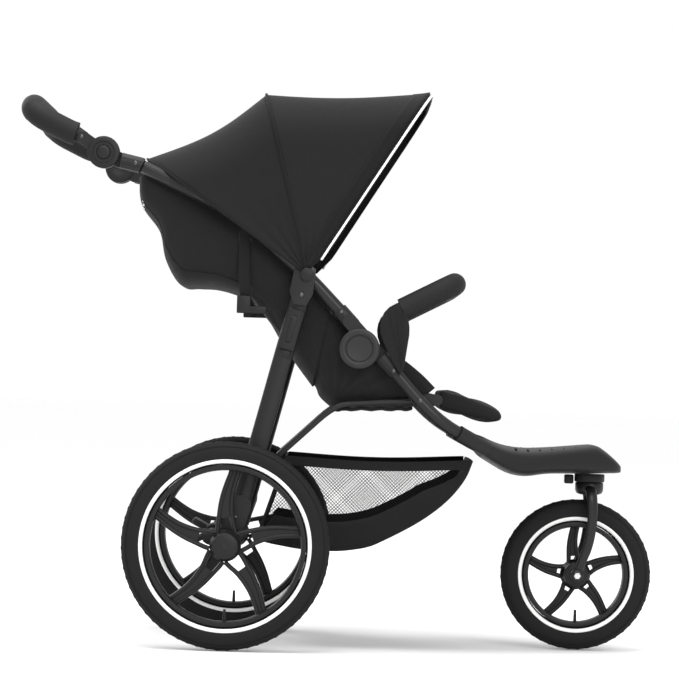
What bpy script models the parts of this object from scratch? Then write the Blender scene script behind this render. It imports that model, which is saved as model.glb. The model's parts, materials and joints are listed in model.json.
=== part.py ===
"""A three-wheeled baby stroller: folding side frames, two spoked rear wheels, a swivelling front wheel,
a hood on two bows, a reclining seat, a tilting handle and a basket. Front is +X, up is +Z, metres."""

from math import atan2, cos, hypot, pi, radians, sin

import bmesh
import bpy
from mathutils import Matrix, Vector

# Wheels. The sides are mirrored about Y = 0; "right" is the rider's right, at -Y.
REAR_TYRE_R = 0.200
FRONT_TYRE_R = 0.150
TYRE_SECTION_R = 0.0225
REAR_AXLE_X = -0.206
FRONT_AXLE_X = 0.482
HUB_R = 0.024
HUB_HALF = 0.028
FRONT_HUB_HALF = 0.034
AXLE_R = 0.006
RIM_WALL = 0.012
RIM_HALF = 0.014
SPOKES = 5
FIT = 0.0004

# Side frames: centrelines in the XZ plane of the side at |Y| = FRAME_Y.
FRAME_Y = 0.250
REAR_WHEEL_Y = FRAME_Y + 0.050
TUBE_R = 0.012
FOLD_AXIS = (0.0384, 0.583)
FOLD_DISC_R = 0.038
TUBE_OFFSET = 0.0211
TUBE_SLOPE = radians(-46.7)
SLEEVE_R = TUBE_R + 0.0025
SLEEVE_START = 0.040
SLEEVE_END = 0.082
UPPER_TUBE = [(-0.066, 0.722), (-0.126, 0.772), (-0.170, 0.810), (-0.220, 0.844), (-0.313, 0.888),
              (-0.389, 0.921)]
LOWER_TUBE = [(0.158, 0.487), (0.201, 0.450)]
HANDLE_AXIS = (-0.463, 0.945)
HANDLE_HUB_R = 0.030
BUTTON_R = 0.0130
GRIP_START = (-0.518, 0.982)
GRIP_BAR = (-0.598, 1.036)
GRIP_R = 0.0235

# Rear legs, their pivots and the cross tube.
LEG_AXIS = (-0.076, 0.683)
LEG_POINTS = [(-0.102, 0.586), (-0.138, 0.441), (REAR_AXLE_X + 0.012, REAR_TYRE_R + 0.022)]
LEG_Y = FRAME_Y - 0.005
LEG_HALF_WIDTH = 0.0185
LEG_HALF_THICK = 0.010
BRACKET_Y = FRAME_Y + TUBE_R + 0.0023
BRACKET_HALF = 0.0020
CROSS_TUBE = (REAR_AXLE_X - 0.034, REAR_TYRE_R + 0.013)
CROSS_TUBE_R = 0.010

# Seat, its rails and the backrest.
RAIL_AXIS = (0.158, 0.487)
SEAT_CORNER = (-0.005, 0.475)
RAIL_END = (-0.112, 0.373)
RAIL_Y = FRAME_Y - 0.028
RAIL_R = 0.006
CUSHION_HALF = RAIL_Y - 0.019
SEAT_TOP = 0.515
BACK_FOOT = (-0.045, 0.522)
BACK_ANGLE = radians(129.8)
BACK_LENGTH = 0.465
BACK_THICK = 0.022
LEGREST_AXIS = (0.190, 0.489)
LEGREST_TIP = (0.322, 0.461)
SIDE_PANEL_Y = FRAME_Y - 0.018

# Hood: two moving bows and a fixed rear edge, as directions and reaches from the hood pivot.
HOOD_AXIS = (-0.066, 0.722)
HOOD_Y = FRAME_Y + TUBE_R + 0.008
BOW_R = 0.004
FRONT_BOW = (radians(58.2), 0.430)
MID_BOW = (radians(104.5), 0.364)
REAR_EDGE = (radians(147.39) - TUBE_R / 0.384, 0.384)
HOOD_CORNER = 0.095
HOOD_ROOT = 0.055
HUB_PLATE = 0.0026
FABRIC = 0.003

# Front end.
SWIVEL_X = 0.505
FOOTPLATE_BOTTOM = 2 * FRONT_TYRE_R + 0.050
FOOT_END = (0.305, FRAME_Y - 0.072, FOOTPLATE_BOTTOM + 0.0455)
CROWN_TOP = 2 * FRONT_TYRE_R + 0.034
CROWN_R = 0.028
FORK_Y = 0.050
FORK_R = 0.008
BUMPER_AXIS = (0.118, 0.541)
BUMPER_FRONT = (0.2195, 0.7135)
BUMPER_R = 0.0225

GAP = 0.0003
SIDES = ((-1, "right"), (1, "left"))

BLACK_METAL = ((0.020, 0.020, 0.022), 0.42, 0.55)
BLACK_PLASTIC = ((0.022, 0.022, 0.024), 0.55, 0.0)
BLACK_RUBBER = ((0.018, 0.018, 0.018), 0.85, 0.0)
BLACK_FABRIC = ((0.016, 0.016, 0.018), 0.95, 0.0)
BLACK_FOAM = ((0.024, 0.024, 0.026), 0.90, 0.0)
STEEL = ((0.55, 0.55, 0.56), 0.30, 1.0)


def clear_scene():
    for obj in list(bpy.data.objects):
        bpy.data.objects.remove(obj, do_unlink=True)


def collection(name):
    made = bpy.data.collections.new(name)
    bpy.context.scene.collection.children.link(made)
    return made


clear_scene()
PARTS = collection("baby_stroller")
CUTTERS = collection("cutters")
CUTTERS.hide_render = True
JOINT_AXES = collection("joint_axes")


def material(name, look):
    colour, roughness, metallic = look
    made = bpy.data.materials.new(name)
    made.use_nodes = True
    shader = made.node_tree.nodes["Principled BSDF"]
    shader.inputs["Base Color"].default_value = (*colour, 1.0)
    shader.inputs["Roughness"].default_value = roughness
    shader.inputs["Metallic"].default_value = metallic
    return made


def empty(name, place):
    """An empty on a joint's axis, which carries the pieces that move with it."""
    made = bpy.data.objects.new(name, None)
    made.location = place
    JOINT_AXES.objects.link(made)
    bpy.context.view_layer.update()
    return made


def linked(name, data, look):
    obj = bpy.data.objects.new(name, data)
    PARTS.objects.link(obj)
    data.materials.append(material(name, look))
    return obj


def hung(obj, parent):
    """Parents obj to the empty on its joint's axis and leaves it where it is."""
    obj.parent = parent
    obj.matrix_parent_inverse = parent.matrix_world.inverted()
    return obj


def tube(name, points, radius, look, radii=None, flat=None, resolution=2):
    """A round tube along points; flat = (plane Y, share) squeezes it across the side's plane."""
    curve = bpy.data.curves.new(name, "CURVE")
    curve.dimensions = "3D"
    curve.bevel_depth = radius
    curve.bevel_resolution = resolution
    curve.use_fill_caps = True
    spline = curve.splines.new("POLY")
    spline.points.add(len(points) - 1)
    for i, place in enumerate(points):
        spline.points[i].co = (*place, 1.0)
        spline.points[i].radius = radii[i] if radii else 1.0
    obj = linked(name, curve, look)
    if flat:
        obj.location.y, obj.scale.y = flat
    return obj


def outline_curve(name, loops, half_depth):
    curve = bpy.data.curves.new(name, "CURVE")
    curve.dimensions = "2D"
    curve.fill_mode = "BOTH"
    curve.extrude = half_depth
    for loop in loops:
        spline = curve.splines.new("POLY")
        spline.points.add(len(loop) - 1)
        for i, (x, y) in enumerate(loop):
            spline.points[i].co = (x, y, 0.0, 1.0)
        spline.use_cyclic_u = True
    return curve


def plate(name, loops, y, half_depth, look):
    """A flat plate with an outline in the XZ plane, centred on y. Loops after the first are its holes."""
    obj = linked(name, outline_curve(name, loops, half_depth), look)
    obj.rotation_euler.x = pi / 2
    obj.location.y = y
    return obj


def slab(name, loops, z, half_depth, look):
    """A flat plate with an outline in the XY plane, centred on z."""
    obj = linked(name, outline_curve(name, loops, half_depth), look)
    obj.location.z = z
    return obj


def rod(name, centre, radius, length, look, axis="Y", sides=24):
    """A cylinder centred on a point, along Y or Z."""
    mesh = bpy.data.meshes.new(name)
    shape = bmesh.new()
    bmesh.ops.create_cone(shape, cap_ends=True, segments=sides, radius1=radius, radius2=radius, depth=length)
    if axis == "Y":
        bmesh.ops.rotate(shape, matrix=Matrix.Rotation(pi / 2, 3, "X"), verts=shape.verts)
    shape.to_mesh(mesh)
    shape.free()
    obj = linked(name, mesh, look)
    obj.location = centre
    return obj


def turned(name, profile, centre, look, steps):
    """A profile of (radius, along) points, from the top of the outer side down, turned about a Y axis."""
    mesh = bpy.data.meshes.new(name)
    count = len(profile)
    mesh.from_pydata([(r, 0, h) for r, h in profile], [(i, (i + 1) % count) for i in range(count)], [])
    obj = linked(name, mesh, look)
    obj.location = centre
    obj.rotation_euler.x = pi / 2
    screw = obj.modifiers.new("turn", "SCREW")
    screw.steps = steps
    screw.render_steps = steps
    screw.use_merge_vertices = True
    screw.merge_threshold = 0.0001
    return obj


def meshed(obj):
    """Replaces obj by a welded mesh of its evaluated shape, so that it can be joined or cut."""
    bpy.context.view_layer.update()
    seen = obj.evaluated_get(bpy.context.evaluated_depsgraph_get())
    mesh = bpy.data.meshes.new_from_object(seen)
    mesh.transform(obj.matrix_world)
    shape = bmesh.new()
    shape.from_mesh(mesh)
    bmesh.ops.remove_doubles(shape, verts=shape.verts, dist=0.000001)
    bmesh.ops.recalc_face_normals(shape, faces=shape.faces)
    shape.to_mesh(mesh)
    shape.free()
    name, look = obj.name, obj.data.materials[0]
    bpy.data.objects.remove(obj, do_unlink=True)
    made = bpy.data.objects.new(name, mesh)
    made.name = name
    PARTS.objects.link(made)
    mesh.materials.clear()
    mesh.materials.append(look)
    return made


def combine(base, others, operation="UNION"):
    """Joins others to base, or cuts them from it, with exact Booleans."""
    base = meshed(base)
    for i, other in enumerate(others):
        tool = meshed(other)
        tool.name = f"{base.name}_{operation.lower()}_{i}"
        PARTS.objects.unlink(tool)
        CUTTERS.objects.link(tool)
        tool.hide_render = True
        tool.display_type = "WIRE"
        cut = base.modifiers.new(tool.name, "BOOLEAN")
        cut.operation = operation
        cut.solver = "EXACT"
        cut.object = tool
    return base


def circle(centre, radius, count=24):
    return [(centre[0] + radius * cos(2 * pi * i / count), centre[1] + radius * sin(2 * pi * i / count))
            for i in range(count)]


def capsule(start, end, radius, count=6):
    """A slot-shaped outline round the line from start to end."""
    along = atan2(end[1] - start[1], end[0] - start[0])
    points = []
    for centre, turn in ((end, along - pi / 2), (start, along + pi / 2)):
        for i in range(count + 1):
            angle = turn + pi * i / count
            points.append((centre[0] + radius * cos(angle), centre[1] + radius * sin(angle)))
    return points


def polar(centre, angle, reach):
    return (centre[0] + reach * cos(angle), centre[1] + reach * sin(angle))


def side_path(points, y):
    return [(x, y, z) for x, z in points]


def tube_line(distance):
    """The side tube's centreline point this far past the foot of the fold axis, towards the front wheel."""
    foot = polar(FOLD_AXIS, TUBE_SLOPE + pi / 2, TUBE_OFFSET)
    return polar(foot, TUBE_SLOPE, distance)


# ---- wheels -------------------------------------------------------------------------------------------


def wheel_web(name, centre, rim_r, y, half_depth, twist):
    """The spoked web: a disc with a window between each pair of spokes and a slot in each spoke's fork."""
    loops = [circle((0, 0), rim_r, 50)]
    step = 2 * pi / SPOKES
    for k in range(SPOKES):
        spoke = twist + k * step
        window = []
        for i in range(9):
            part = i / 8
            window.append(polar((0, 0), spoke + step * (0.22 + 0.56 * part), rim_r - 0.010))
        for i in range(5):
            part = i / 4
            window.append(polar((0, 0), spoke + step * (0.70 - 0.30 * part), HUB_R + 0.010))
        loops.append(window)
        slot_root = polar((0, 0), spoke, HUB_R + 0.45 * (rim_r - HUB_R))
        loops.append([slot_root, polar((0, 0), spoke - 0.13 * step, rim_r - 0.012),
                      polar((0, 0), spoke, rim_r - 0.010), polar((0, 0), spoke + 0.13 * step, rim_r - 0.012)])
    loops.append(circle((0, 0), HUB_R - 0.004, 20))
    web = plate(name, loops, y, half_depth, BLACK_PLASTIC)
    web.location = (centre[0], y, centre[1])
    return web


def make_wheel(name, centre, y, tyre_r, hub_half, twist):
    """A rim, spokes and hub in one piece, and its tyre."""
    bead_r = tyre_r - 2 * TYRE_SECTION_R - 0.0005
    place = (centre[0], y, centre[1])
    ring = [(bead_r, RIM_HALF), (bead_r, -RIM_HALF), (bead_r - RIM_WALL, -RIM_HALF + 0.003),
            (bead_r - RIM_WALL, RIM_HALF - 0.003)]
    rim = turned(f"{name}_rim", ring, place, BLACK_PLASTIC, 50)
    web = wheel_web(f"{name}_web", centre, bead_r - 0.004, y, 0.005, twist)
    bore = AXLE_R + FIT
    hub_profile = [(HUB_R, hub_half), (HUB_R, -hub_half), (bore, -hub_half), (bore, hub_half)]
    hub = turned(f"{name}_hub", hub_profile, place, BLACK_PLASTIC, 30)
    rim = combine(rim, [web, hub])
    mesh = bpy.data.meshes.new(f"{name}_tyre")
    shape = bmesh.new()
    section = bmesh.ops.create_circle(shape, segments=8, radius=TYRE_SECTION_R)["verts"]
    bmesh.ops.rotate(shape, matrix=Matrix.Rotation(pi / 2, 3, "X"), verts=section)
    bmesh.ops.translate(shape, vec=(tyre_r - TYRE_SECTION_R, 0, 0), verts=section)
    bmesh.ops.spin(shape, geom=shape.verts[:] + shape.edges[:], cent=(0, 0, 0), axis=(0, 0, 1),
                   angle=2 * pi, steps=40, use_merge=True)
    bmesh.ops.remove_doubles(shape, verts=shape.verts, dist=0.00001)
    bmesh.ops.recalc_face_normals(shape, faces=shape.faces)
    bmesh.ops.rotate(shape, matrix=Matrix.Rotation(pi / 2, 3, "X"), verts=shape.verts)
    shape.to_mesh(mesh)
    shape.free()
    tyre = linked(f"{name}_tyre", mesh, BLACK_RUBBER)
    tyre.location = place
    axis = empty(f"{name}_axis", place)
    hung(rim, axis)
    hung(tyre, axis)


def make_wheels():
    for sign, side in SIDES:
        make_wheel(f"rear_{side}", (REAR_AXLE_X, REAR_TYRE_R), sign * REAR_WHEEL_Y, REAR_TYRE_R, HUB_HALF,
                   radians(83.7))
    make_wheel("front", (FRONT_AXLE_X, FRONT_TYRE_R), 0.0, FRONT_TYRE_R, FRONT_HUB_HALF, radians(19))


# ---- rear legs ----------------------------------------------------------------------------------------


def make_rear_legs():
    """Two flat-oval legs from their pivots under the side tubes to the axle, and the cross tube behind it."""
    axle = (REAR_AXLE_X, REAR_TYRE_R)
    leg_turn = atan2(LEG_AXIS[1] - LEG_POINTS[0][1], LEG_AXIS[0] - LEG_POINTS[0][0])
    top = polar(LEG_AXIS, leg_turn, 0.006)
    bracket_inner = LEG_Y + LEG_HALF_THICK + GAP
    for sign, side in SIDES:
        tube(f"rear_leg_{side}", [(x, 0.0, z) for x, z in [top] + LEG_POINTS], LEG_HALF_WIDTH, BLACK_METAL,
             flat=(sign * LEG_Y, LEG_HALF_THICK / LEG_HALF_WIDTH), resolution=3)
        foot = plate(f"axle_bracket_{side}", [capsule(axle, polar(LEG_POINTS[2], radians(76), 0.055), 0.021)],
                     sign * (bracket_inner + 0.002), 0.002, BLACK_METAL)
        lug = plate("lug", [capsule(axle, CROSS_TUBE, 0.013)], sign * (bracket_inner + 0.002), 0.0016,
                    BLACK_METAL)
        stub_from = bracket_inner + 0.001
        stub_to = REAR_WHEEL_Y + HUB_HALF + 0.004
        stub = rod("stub", (axle[0], sign * (stub_from + stub_to) / 2, axle[1]), AXLE_R, stub_to - stub_from,
                   STEEL, sides=16)
        combine(foot, [lug, stub])
    rod("rear_cross_tube", (CROSS_TUBE[0], 0.0, CROSS_TUBE[1]), CROSS_TUBE_R, 2 * (bracket_inner - GAP),
        BLACK_METAL, sides=20)
    make_brake()


def make_brake():
    """A rocker on the cross tube with a foot lobe above and below, and its hub pins' link bar."""
    lobes = [polar(CROSS_TUBE, radians(150), 0.045), polar(CROSS_TUBE, radians(205), 0.045)]
    pedal = plate("brake_pedal", [circle(CROSS_TUBE, 0.017, 20), circle(CROSS_TUBE, CROSS_TUBE_R + FIT, 20)],
                  0.0, 0.045, BLACK_PLASTIC)
    tips = []
    for i, lobe in enumerate(lobes):
        start = polar(CROSS_TUBE, atan2(lobe[1] - CROSS_TUBE[1], lobe[0] - CROSS_TUBE[0]), 0.0185)
        tips.append(plate(f"lobe_{i}", [capsule(start, lobe, 0.0065)], 0.0, 0.040, BLACK_PLASTIC))
    pedal = combine(pedal, tips)
    hung(pedal, empty("brake_axis", (CROSS_TUBE[0], 0.0, CROSS_TUBE[1])))


# ---- side frames --------------------------------------------------------------------------------------


def make_fold_casting(side, sign, name, direction, y_from, y_to):
    """Half of a fold joint: a disc on the fold axis and a sleeve that takes the side tube."""
    middle = sign * (y_from + y_to) / 2
    half = (y_to - y_from) / 2
    disc = rod(f"{name}_{side}", (FOLD_AXIS[0], middle, FOLD_AXIS[1]), FOLD_DISC_R, 2 * half, BLACK_PLASTIC,
               sides=32)
    near, far = tube_line(direction * SLEEVE_START), tube_line(direction * SLEEVE_END)
    sleeve = tube("sleeve", side_path([near, far], sign * FRAME_Y), SLEEVE_R, BLACK_PLASTIC, resolution=4)
    web_root = tube_line(direction * (SLEEVE_START - 0.030))
    web_tip = tube_line(direction * (SLEEVE_START + 0.012))
    web = plate("web", [capsule(web_root, web_tip, 0.0135)], middle, half, BLACK_PLASTIC)
    return combine(disc, [web, sleeve])


def make_upper_frame():
    """The upper side tubes with the upper fold castings, the leg brackets and the handle housings."""
    axis = empty("rear_leg_axis", (LEG_AXIS[0], 0.0, LEG_AXIS[1]))
    for sign, side in SIDES:
        end = tube_line(-SLEEVE_END - GAP)
        path = side_path([end] + UPPER_TUBE, sign * FRAME_Y)
        hung(tube(f"upper_tube_{side}", path, TUBE_R, BLACK_METAL, resolution=3), axis)
        casting = make_fold_casting(side, sign, "upper_fold_casting", -1, FRAME_Y + 0.0015,
                                    FRAME_Y + SLEEVE_R + 0.0005)
        hung(casting, axis)
        outline = [(-0.088, 0.757), (-0.050, 0.734), (-0.050, 0.722), (-0.054, 0.684), (-0.064, 0.663),
                   (-0.090, 0.664), (-0.097, 0.690)]
        bracket = plate(f"leg_bracket_{side}", [outline], sign * BRACKET_Y, BRACKET_HALF, BLACK_METAL)
        boss_from = LEG_Y + LEG_HALF_THICK + GAP
        boss = rod("boss", (LEG_AXIS[0], sign * (boss_from + BRACKET_Y) / 2, LEG_AXIS[1]), 0.011,
                   BRACKET_Y - boss_from, BLACK_METAL, sides=20)
        hung(combine(bracket, [boss]), axis)
        hung(make_handle_housing(sign, side), axis)
    return axis


def make_handle_housing(sign, side):
    """The frame's half of the handle hinge: an inner disc and the arm that plugs into the side tube."""
    inner, outer = FRAME_Y - 0.016, FRAME_Y + 0.0005
    disc = rod(f"handle_housing_{side}", (HANDLE_AXIS[0], sign * (inner + outer) / 2, HANDLE_AXIS[1]),
               HANDLE_HUB_R, outer - inner, BLACK_PLASTIC, sides=28)
    tube_end = UPPER_TUBE[-1]
    slope = atan2(tube_end[1] - UPPER_TUBE[-2][1], tube_end[0] - UPPER_TUBE[-2][0])
    start = polar(tube_end, slope, GAP)
    neck = polar(HANDLE_AXIS, slope + pi, HANDLE_HUB_R + 0.006)
    path = side_path([start, polar(start, slope, 0.004), neck], sign * FRAME_Y)
    arm = tube("arm", path, 0.0155, BLACK_PLASTIC, resolution=4)
    web = plate("web", [capsule(polar(HANDLE_AXIS, slope + pi, 0.010), neck, 0.0145)],
                sign * (inner + outer) / 2, (outer - inner) / 2, BLACK_PLASTIC)
    return combine(disc, [web, arm])


def make_handle():
    """The handle: a hub and arm at each side, and one padded grip right round between them."""
    axis = empty("handle_axis", (HANDLE_AXIS[0], 0.0, HANDLE_AXIS[1]))
    slope = atan2(GRIP_START[1] - HANDLE_AXIS[1], GRIP_START[0] - HANDLE_AXIS[0])
    bar_slope = atan2(GRIP_BAR[1] - GRIP_START[1], GRIP_BAR[0] - GRIP_START[0])
    inner, outer = FRAME_Y + 0.0009, FRAME_Y + 0.0165
    for sign, side in SIDES:
        middle = sign * (inner + outer) / 2
        ring = [circle(HANDLE_AXIS, HANDLE_HUB_R, 28), circle(HANDLE_AXIS, BUTTON_R + 0.0005, 20)]
        hub = plate(f"handle_arm_{side}", ring, middle, (outer - inner) / 2, BLACK_PLASTIC)
        neck = polar(HANDLE_AXIS, slope, HANDLE_HUB_R + 0.0175)
        web = plate("web", [capsule(polar(HANDLE_AXIS, slope, 0.0285), neck, 0.0120)], middle,
                    (outer - inner) / 2, BLACK_PLASTIC)
        end = (GRIP_START[0] - GAP * cos(bar_slope), GRIP_START[1] - GAP * sin(bar_slope))
        arm = tube("arm", side_path([neck, end], sign * FRAME_Y), 0.0135, BLACK_PLASTIC, resolution=3)
        hung(combine(hub, [web, arm]), axis)
        cap_y = sign * (outer - 0.004)
        button = rod(f"handle_button_{side}", (HANDLE_AXIS[0], cap_y, HANDLE_AXIS[1]), BUTTON_R, 0.014,
                     BLACK_PLASTIC, sides=20)
        hung(button, axis)
    corner = 0.060
    path = [(*GRIP_START, FRAME_Y)]
    turn_start = (GRIP_BAR[0] - corner * cos(bar_slope), GRIP_BAR[1] - corner * sin(bar_slope))
    for i in range(6):
        angle = pi / 2 * i / 5
        along = corner * sin(angle)
        path.append((turn_start[0] + along * cos(bar_slope), turn_start[1] + along * sin(bar_slope),
                     FRAME_Y - corner * (1 - cos(angle))))
    path.append((*GRIP_BAR, 0.0))
    points = [(x, y, z) for x, z, y in path]
    points += [(x, -y, z) for x, y, z in reversed(points[:-1])]
    thick = [0.62, 0.86] + [1.0] * (len(points) - 4) + [0.86, 0.62]
    hung(tube("handle_grip", points, GRIP_R, BLACK_FOAM, radii=thick, resolution=3), axis)


def lower_tube_path(sign):
    """From the fold joint along the side, then inwards to the tube's end in the footplate's socket."""
    points = side_path([tube_line(SLEEVE_END + GAP)] + LOWER_TUBE, sign * FRAME_Y)
    points.append((FOOT_END[0] - 0.059, sign * (FRAME_Y - 0.022), FOOT_END[2] + 0.028))
    return points + [(FOOT_END[0], sign * FOOT_END[1], FOOT_END[2])]


def make_front_frame():
    """The lower side tubes, their fold castings, the footplate between them and the seat's pivot plates."""
    axis = empty("fold_axis", (FOLD_AXIS[0], 0.0, FOLD_AXIS[1]))
    for sign, side in SIDES:
        hung(tube(f"lower_tube_{side}", lower_tube_path(sign), TUBE_R, BLACK_METAL, resolution=3), axis)
        casting = make_fold_casting(side, sign, "lower_fold_casting", 1, FRAME_Y - SLEEVE_R + 0.0020,
                                    FRAME_Y + 0.0010)
        hung(casting, axis)
        hung(make_pivot_plate(sign, side), axis)
    bar_length = 2 * (RAIL_Y + RAIL_R + 0.0005 - GAP)
    bar_at = (LEGREST_AXIS[0], 0.0, LEGREST_AXIS[1])
    bar = rod("legrest_bar", bar_at, 0.007, bar_length, BLACK_METAL, sides=16)
    housing = rod("steerer_housing", (SWIVEL_X, 0.0, (FOOTPLATE_BOTTOM + CROWN_TOP) / 2), 0.030,
                  FOOTPLATE_BOTTOM - CROWN_TOP - 2 * GAP, BLACK_PLASTIC, axis="Z", sides=28)
    for piece in (bar, make_footplate(), housing, make_basket()):
        hung(piece, axis)


def make_pivot_plate(sign, side):
    """Inside each lower tube: a plate with the seat rail's pivot boss and the end of the leg rest's bar."""
    inner = RAIL_Y + RAIL_R + 0.0005
    half = 0.0018
    boss_to = FRAME_Y - TUBE_R - GAP
    outline = capsule(RAIL_AXIS, LEGREST_AXIS, 0.0115)
    pivot = plate(f"pivot_plate_{side}", [outline], sign * (inner + half), half, BLACK_METAL)
    boss = rod("boss", (RAIL_AXIS[0], sign * (inner + half + boss_to) / 2, RAIL_AXIS[1]), 0.009,
               boss_to - inner - half, BLACK_METAL, sides=16)
    return combine(pivot, [boss])


def make_footplate():
    """The moulded footplate: a side profile, narrowed towards the front by a plan outline."""
    rises = [(0.2765, 0.0735), (0.326, 0.052), (0.384, 0.046), (0.489, 0.0575), (0.513, 0.0605),
             (0.563, 0.020), (0.563, 0.004), (0.427, 0.0005), (0.379, 0.0025), (0.284, 0.036)]
    profile = [(x, FOOTPLATE_BOTTOM + rise) for x, rise in rises]
    half = FRAME_Y - 0.046
    plan = [(0.260, -half), (0.300, 0.004 - half), (0.400, 0.044 - half), (0.500, 0.099 - half),
            (0.555, 0.134 - half), (0.570, 0.164 - half)]
    plan += [(x, -y) for x, y in reversed(plan)]
    body = plate("footplate", [profile], 0.0, half + 0.011, BLACK_PLASTIC)
    limit = slab("plan", [plan], FOOTPLATE_BOTTOM + 0.035, 0.060, BLACK_PLASTIC)
    sockets = []
    for sign, side in SIDES:
        path = lower_tube_path(sign)
        end = Vector(path[-1])
        past = end + (end - Vector(path[-2])).normalized() * GAP
        sockets.append(tube(f"socket_{side}", path[:-1] + [past], TUBE_R + GAP, BLACK_PLASTIC, resolution=3))
    return combine(combine(body, [limit], "INTERSECT"), sockets, "DIFFERENCE")


# ---- seat ---------------------------------------------------------------------------------------------


def make_seat():
    """Seat rails with the cushion and rear rod, the backrest with its pocket, and the leg rest."""
    rail_axis = empty("rail_axis", (RAIL_AXIS[0], 0.0, RAIL_AXIS[1]))
    bend = polar(SEAT_CORNER, atan2(RAIL_END[1] - SEAT_CORNER[1], RAIL_END[0] - SEAT_CORNER[0]), 0.020)
    before = (SEAT_CORNER[0] + 0.014, SEAT_CORNER[1] + 0.001)
    for sign, side in SIDES:
        path = side_path([RAIL_AXIS, before, bend, RAIL_END], sign * RAIL_Y)
        hung(tube(f"seat_rail_{side}", path, RAIL_R, BLACK_METAL), rail_axis)
    rod_half = RAIL_Y - RAIL_R - GAP
    cross = rod("seat_rear_rod", (before[0], 0.0, before[1]), 0.005, 2 * rod_half, BLACK_METAL, sides=12)
    hung(cross, rail_axis)
    profile = [(0.000, SEAT_TOP - 0.0245), (0.150, SEAT_TOP - 0.0185), (0.152, SEAT_TOP), (0.006, SEAT_TOP)]
    hung(plate("seat_cushion", [profile], 0.0, CUSHION_HALF, BLACK_FABRIC), rail_axis)

    back_axis = empty("recline_axis", (SEAT_CORNER[0], 0.0, SEAT_CORNER[1]))
    top = polar(BACK_FOOT, BACK_ANGLE, BACK_LENGTH)
    front = BACK_ANGLE - pi / 2
    outline = [BACK_FOOT, polar(BACK_FOOT, front, BACK_THICK), polar(top, front, BACK_THICK), top]
    hung(plate("backrest", [outline], 0.0, CUSHION_HALF, BLACK_FABRIC), back_axis)
    behind = BACK_ANGLE + pi / 2
    bulge = ((0.215, 0.0008), (0.430, 0.0008), (0.420, 0.036), (0.365, 0.062), (0.280, 0.068))
    pocket = [polar(polar(BACK_FOOT, BACK_ANGLE, along), behind, depth) for along, depth in bulge]
    hung(plate("rear_pocket", [pocket], 0.0, CUSHION_HALF - 0.043, BLACK_FABRIC), back_axis)

    rest_axis = empty("legrest_axis", (LEGREST_AXIS[0], 0.0, LEGREST_AXIS[1]))
    slope = atan2(LEGREST_TIP[1] - LEGREST_AXIS[1], LEGREST_TIP[0] - LEGREST_AXIS[0])
    thick = 0.018
    start = polar(LEGREST_AXIS, slope, 0.0085)
    tip = polar(LEGREST_TIP, slope, -thick * 0.6)
    outline = [polar(start, slope - pi / 2, thick), polar(tip, slope - pi / 2, thick),
               polar(LEGREST_TIP, slope - pi / 2, thick * 0.4),
               polar(LEGREST_TIP, slope + pi / 2, thick * 0.4),
               polar(tip, slope + pi / 2, thick), polar(start, slope + pi / 2, thick)]
    hung(plate("leg_rest", [outline], 0.0, CUSHION_HALF - 0.033, BLACK_FABRIC), rest_axis)


def make_seat_sides(axis):
    """The fabric between the side tubes and the seat, one thin panel at each side."""
    side = [(-0.383, 0.905), (-0.313, 0.868), (-0.220, 0.822), (-0.126, 0.751), (0.098, 0.531),
            (0.146, 0.494), (0.000, 0.492), (-0.080, 0.562), (-0.300, 0.800), (-0.386, 0.880)]
    for sign, name in SIDES:
        hung(plate(f"seat_side_{name}", [side], sign * SIDE_PANEL_Y, 0.001, BLACK_FABRIC), axis)


# ---- hood ---------------------------------------------------------------------------------------------


def bow_outline(angle, reach, steps=5):
    """Points round a bow from its right foot over the crown to its left foot, in the bow's own plane."""
    points = [(HOOD_ROOT, -HOOD_Y), ((HOOD_ROOT + reach) / 2, -HOOD_Y)]
    for i in range(steps + 1):
        turn = pi / 2 * i / steps
        points.append((reach - HOOD_CORNER * (1 - sin(turn)), HOOD_CORNER * (1 - cos(turn)) - HOOD_Y))
    points.append((reach, -0.06))
    points += [(r, -y) for r, y in reversed(points)]
    return [(HOOD_AXIS[0] + r * cos(angle), y, HOOD_AXIS[1] + r * sin(angle)) for r, y in points]


def shifted(points, angle, distance):
    """Moves a bow's points square to its plane, towards the back when distance is positive."""
    step = Vector((-sin(angle), 0, cos(angle))) * distance
    return [Vector(p) + step for p in points]


def make_bow(name, bow, layer, axis):
    """One bow: a bent rod with a flat hub plate at each foot, layer by layer outside the bracket."""
    angle, reach = bow
    rod_piece = tube(name, bow_outline(angle, reach), BOW_R, BLACK_PLASTIC)
    plates = []
    for sign, side in SIDES:
        y = sign * (BRACKET_Y + BRACKET_HALF + GAP + HUB_PLATE / 2 + layer * (HUB_PLATE + GAP))
        foot = polar(HOOD_AXIS, angle, HOOD_ROOT + 0.004)
        strip = [capsule(HOOD_AXIS, foot, 0.0036)]
        plates.append(plate(f"{name}_{side}", strip, y, HUB_PLATE / 2, BLACK_PLASTIC))
        hub_at = (HOOD_AXIS[0], y, HOOD_AXIS[1])
        plates.append(rod(f"{name}_hub_{side}", hub_at, 0.013, HUB_PLATE, BLACK_PLASTIC, sides=20))
    hung(combine(rod_piece, plates), axis)


def make_panel(name, first, last, rows, axis):
    """A fabric panel lofted between two rows of points, given its thickness by Solidify."""
    mesh = bpy.data.meshes.new(name)
    shape = bmesh.new()
    grid = []
    for r in range(rows + 1):
        share = r / rows
        grid.append([shape.verts.new(a.lerp(b, share)) for a, b in zip(first, last)])
    for below, above in zip(grid, grid[1:]):
        for i in range(len(below) - 1):
            shape.faces.new((below[i], below[i + 1], above[i + 1], above[i]))
    bmesh.ops.recalc_face_normals(shape, faces=shape.faces)
    shape.to_mesh(mesh)
    shape.free()
    obj = linked(name, mesh, BLACK_FABRIC)
    thicken = obj.modifiers.new("thickness", "SOLIDIFY")
    thicken.thickness = FABRIC
    thicken.offset = 0.0
    return hung(obj, axis)


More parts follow.
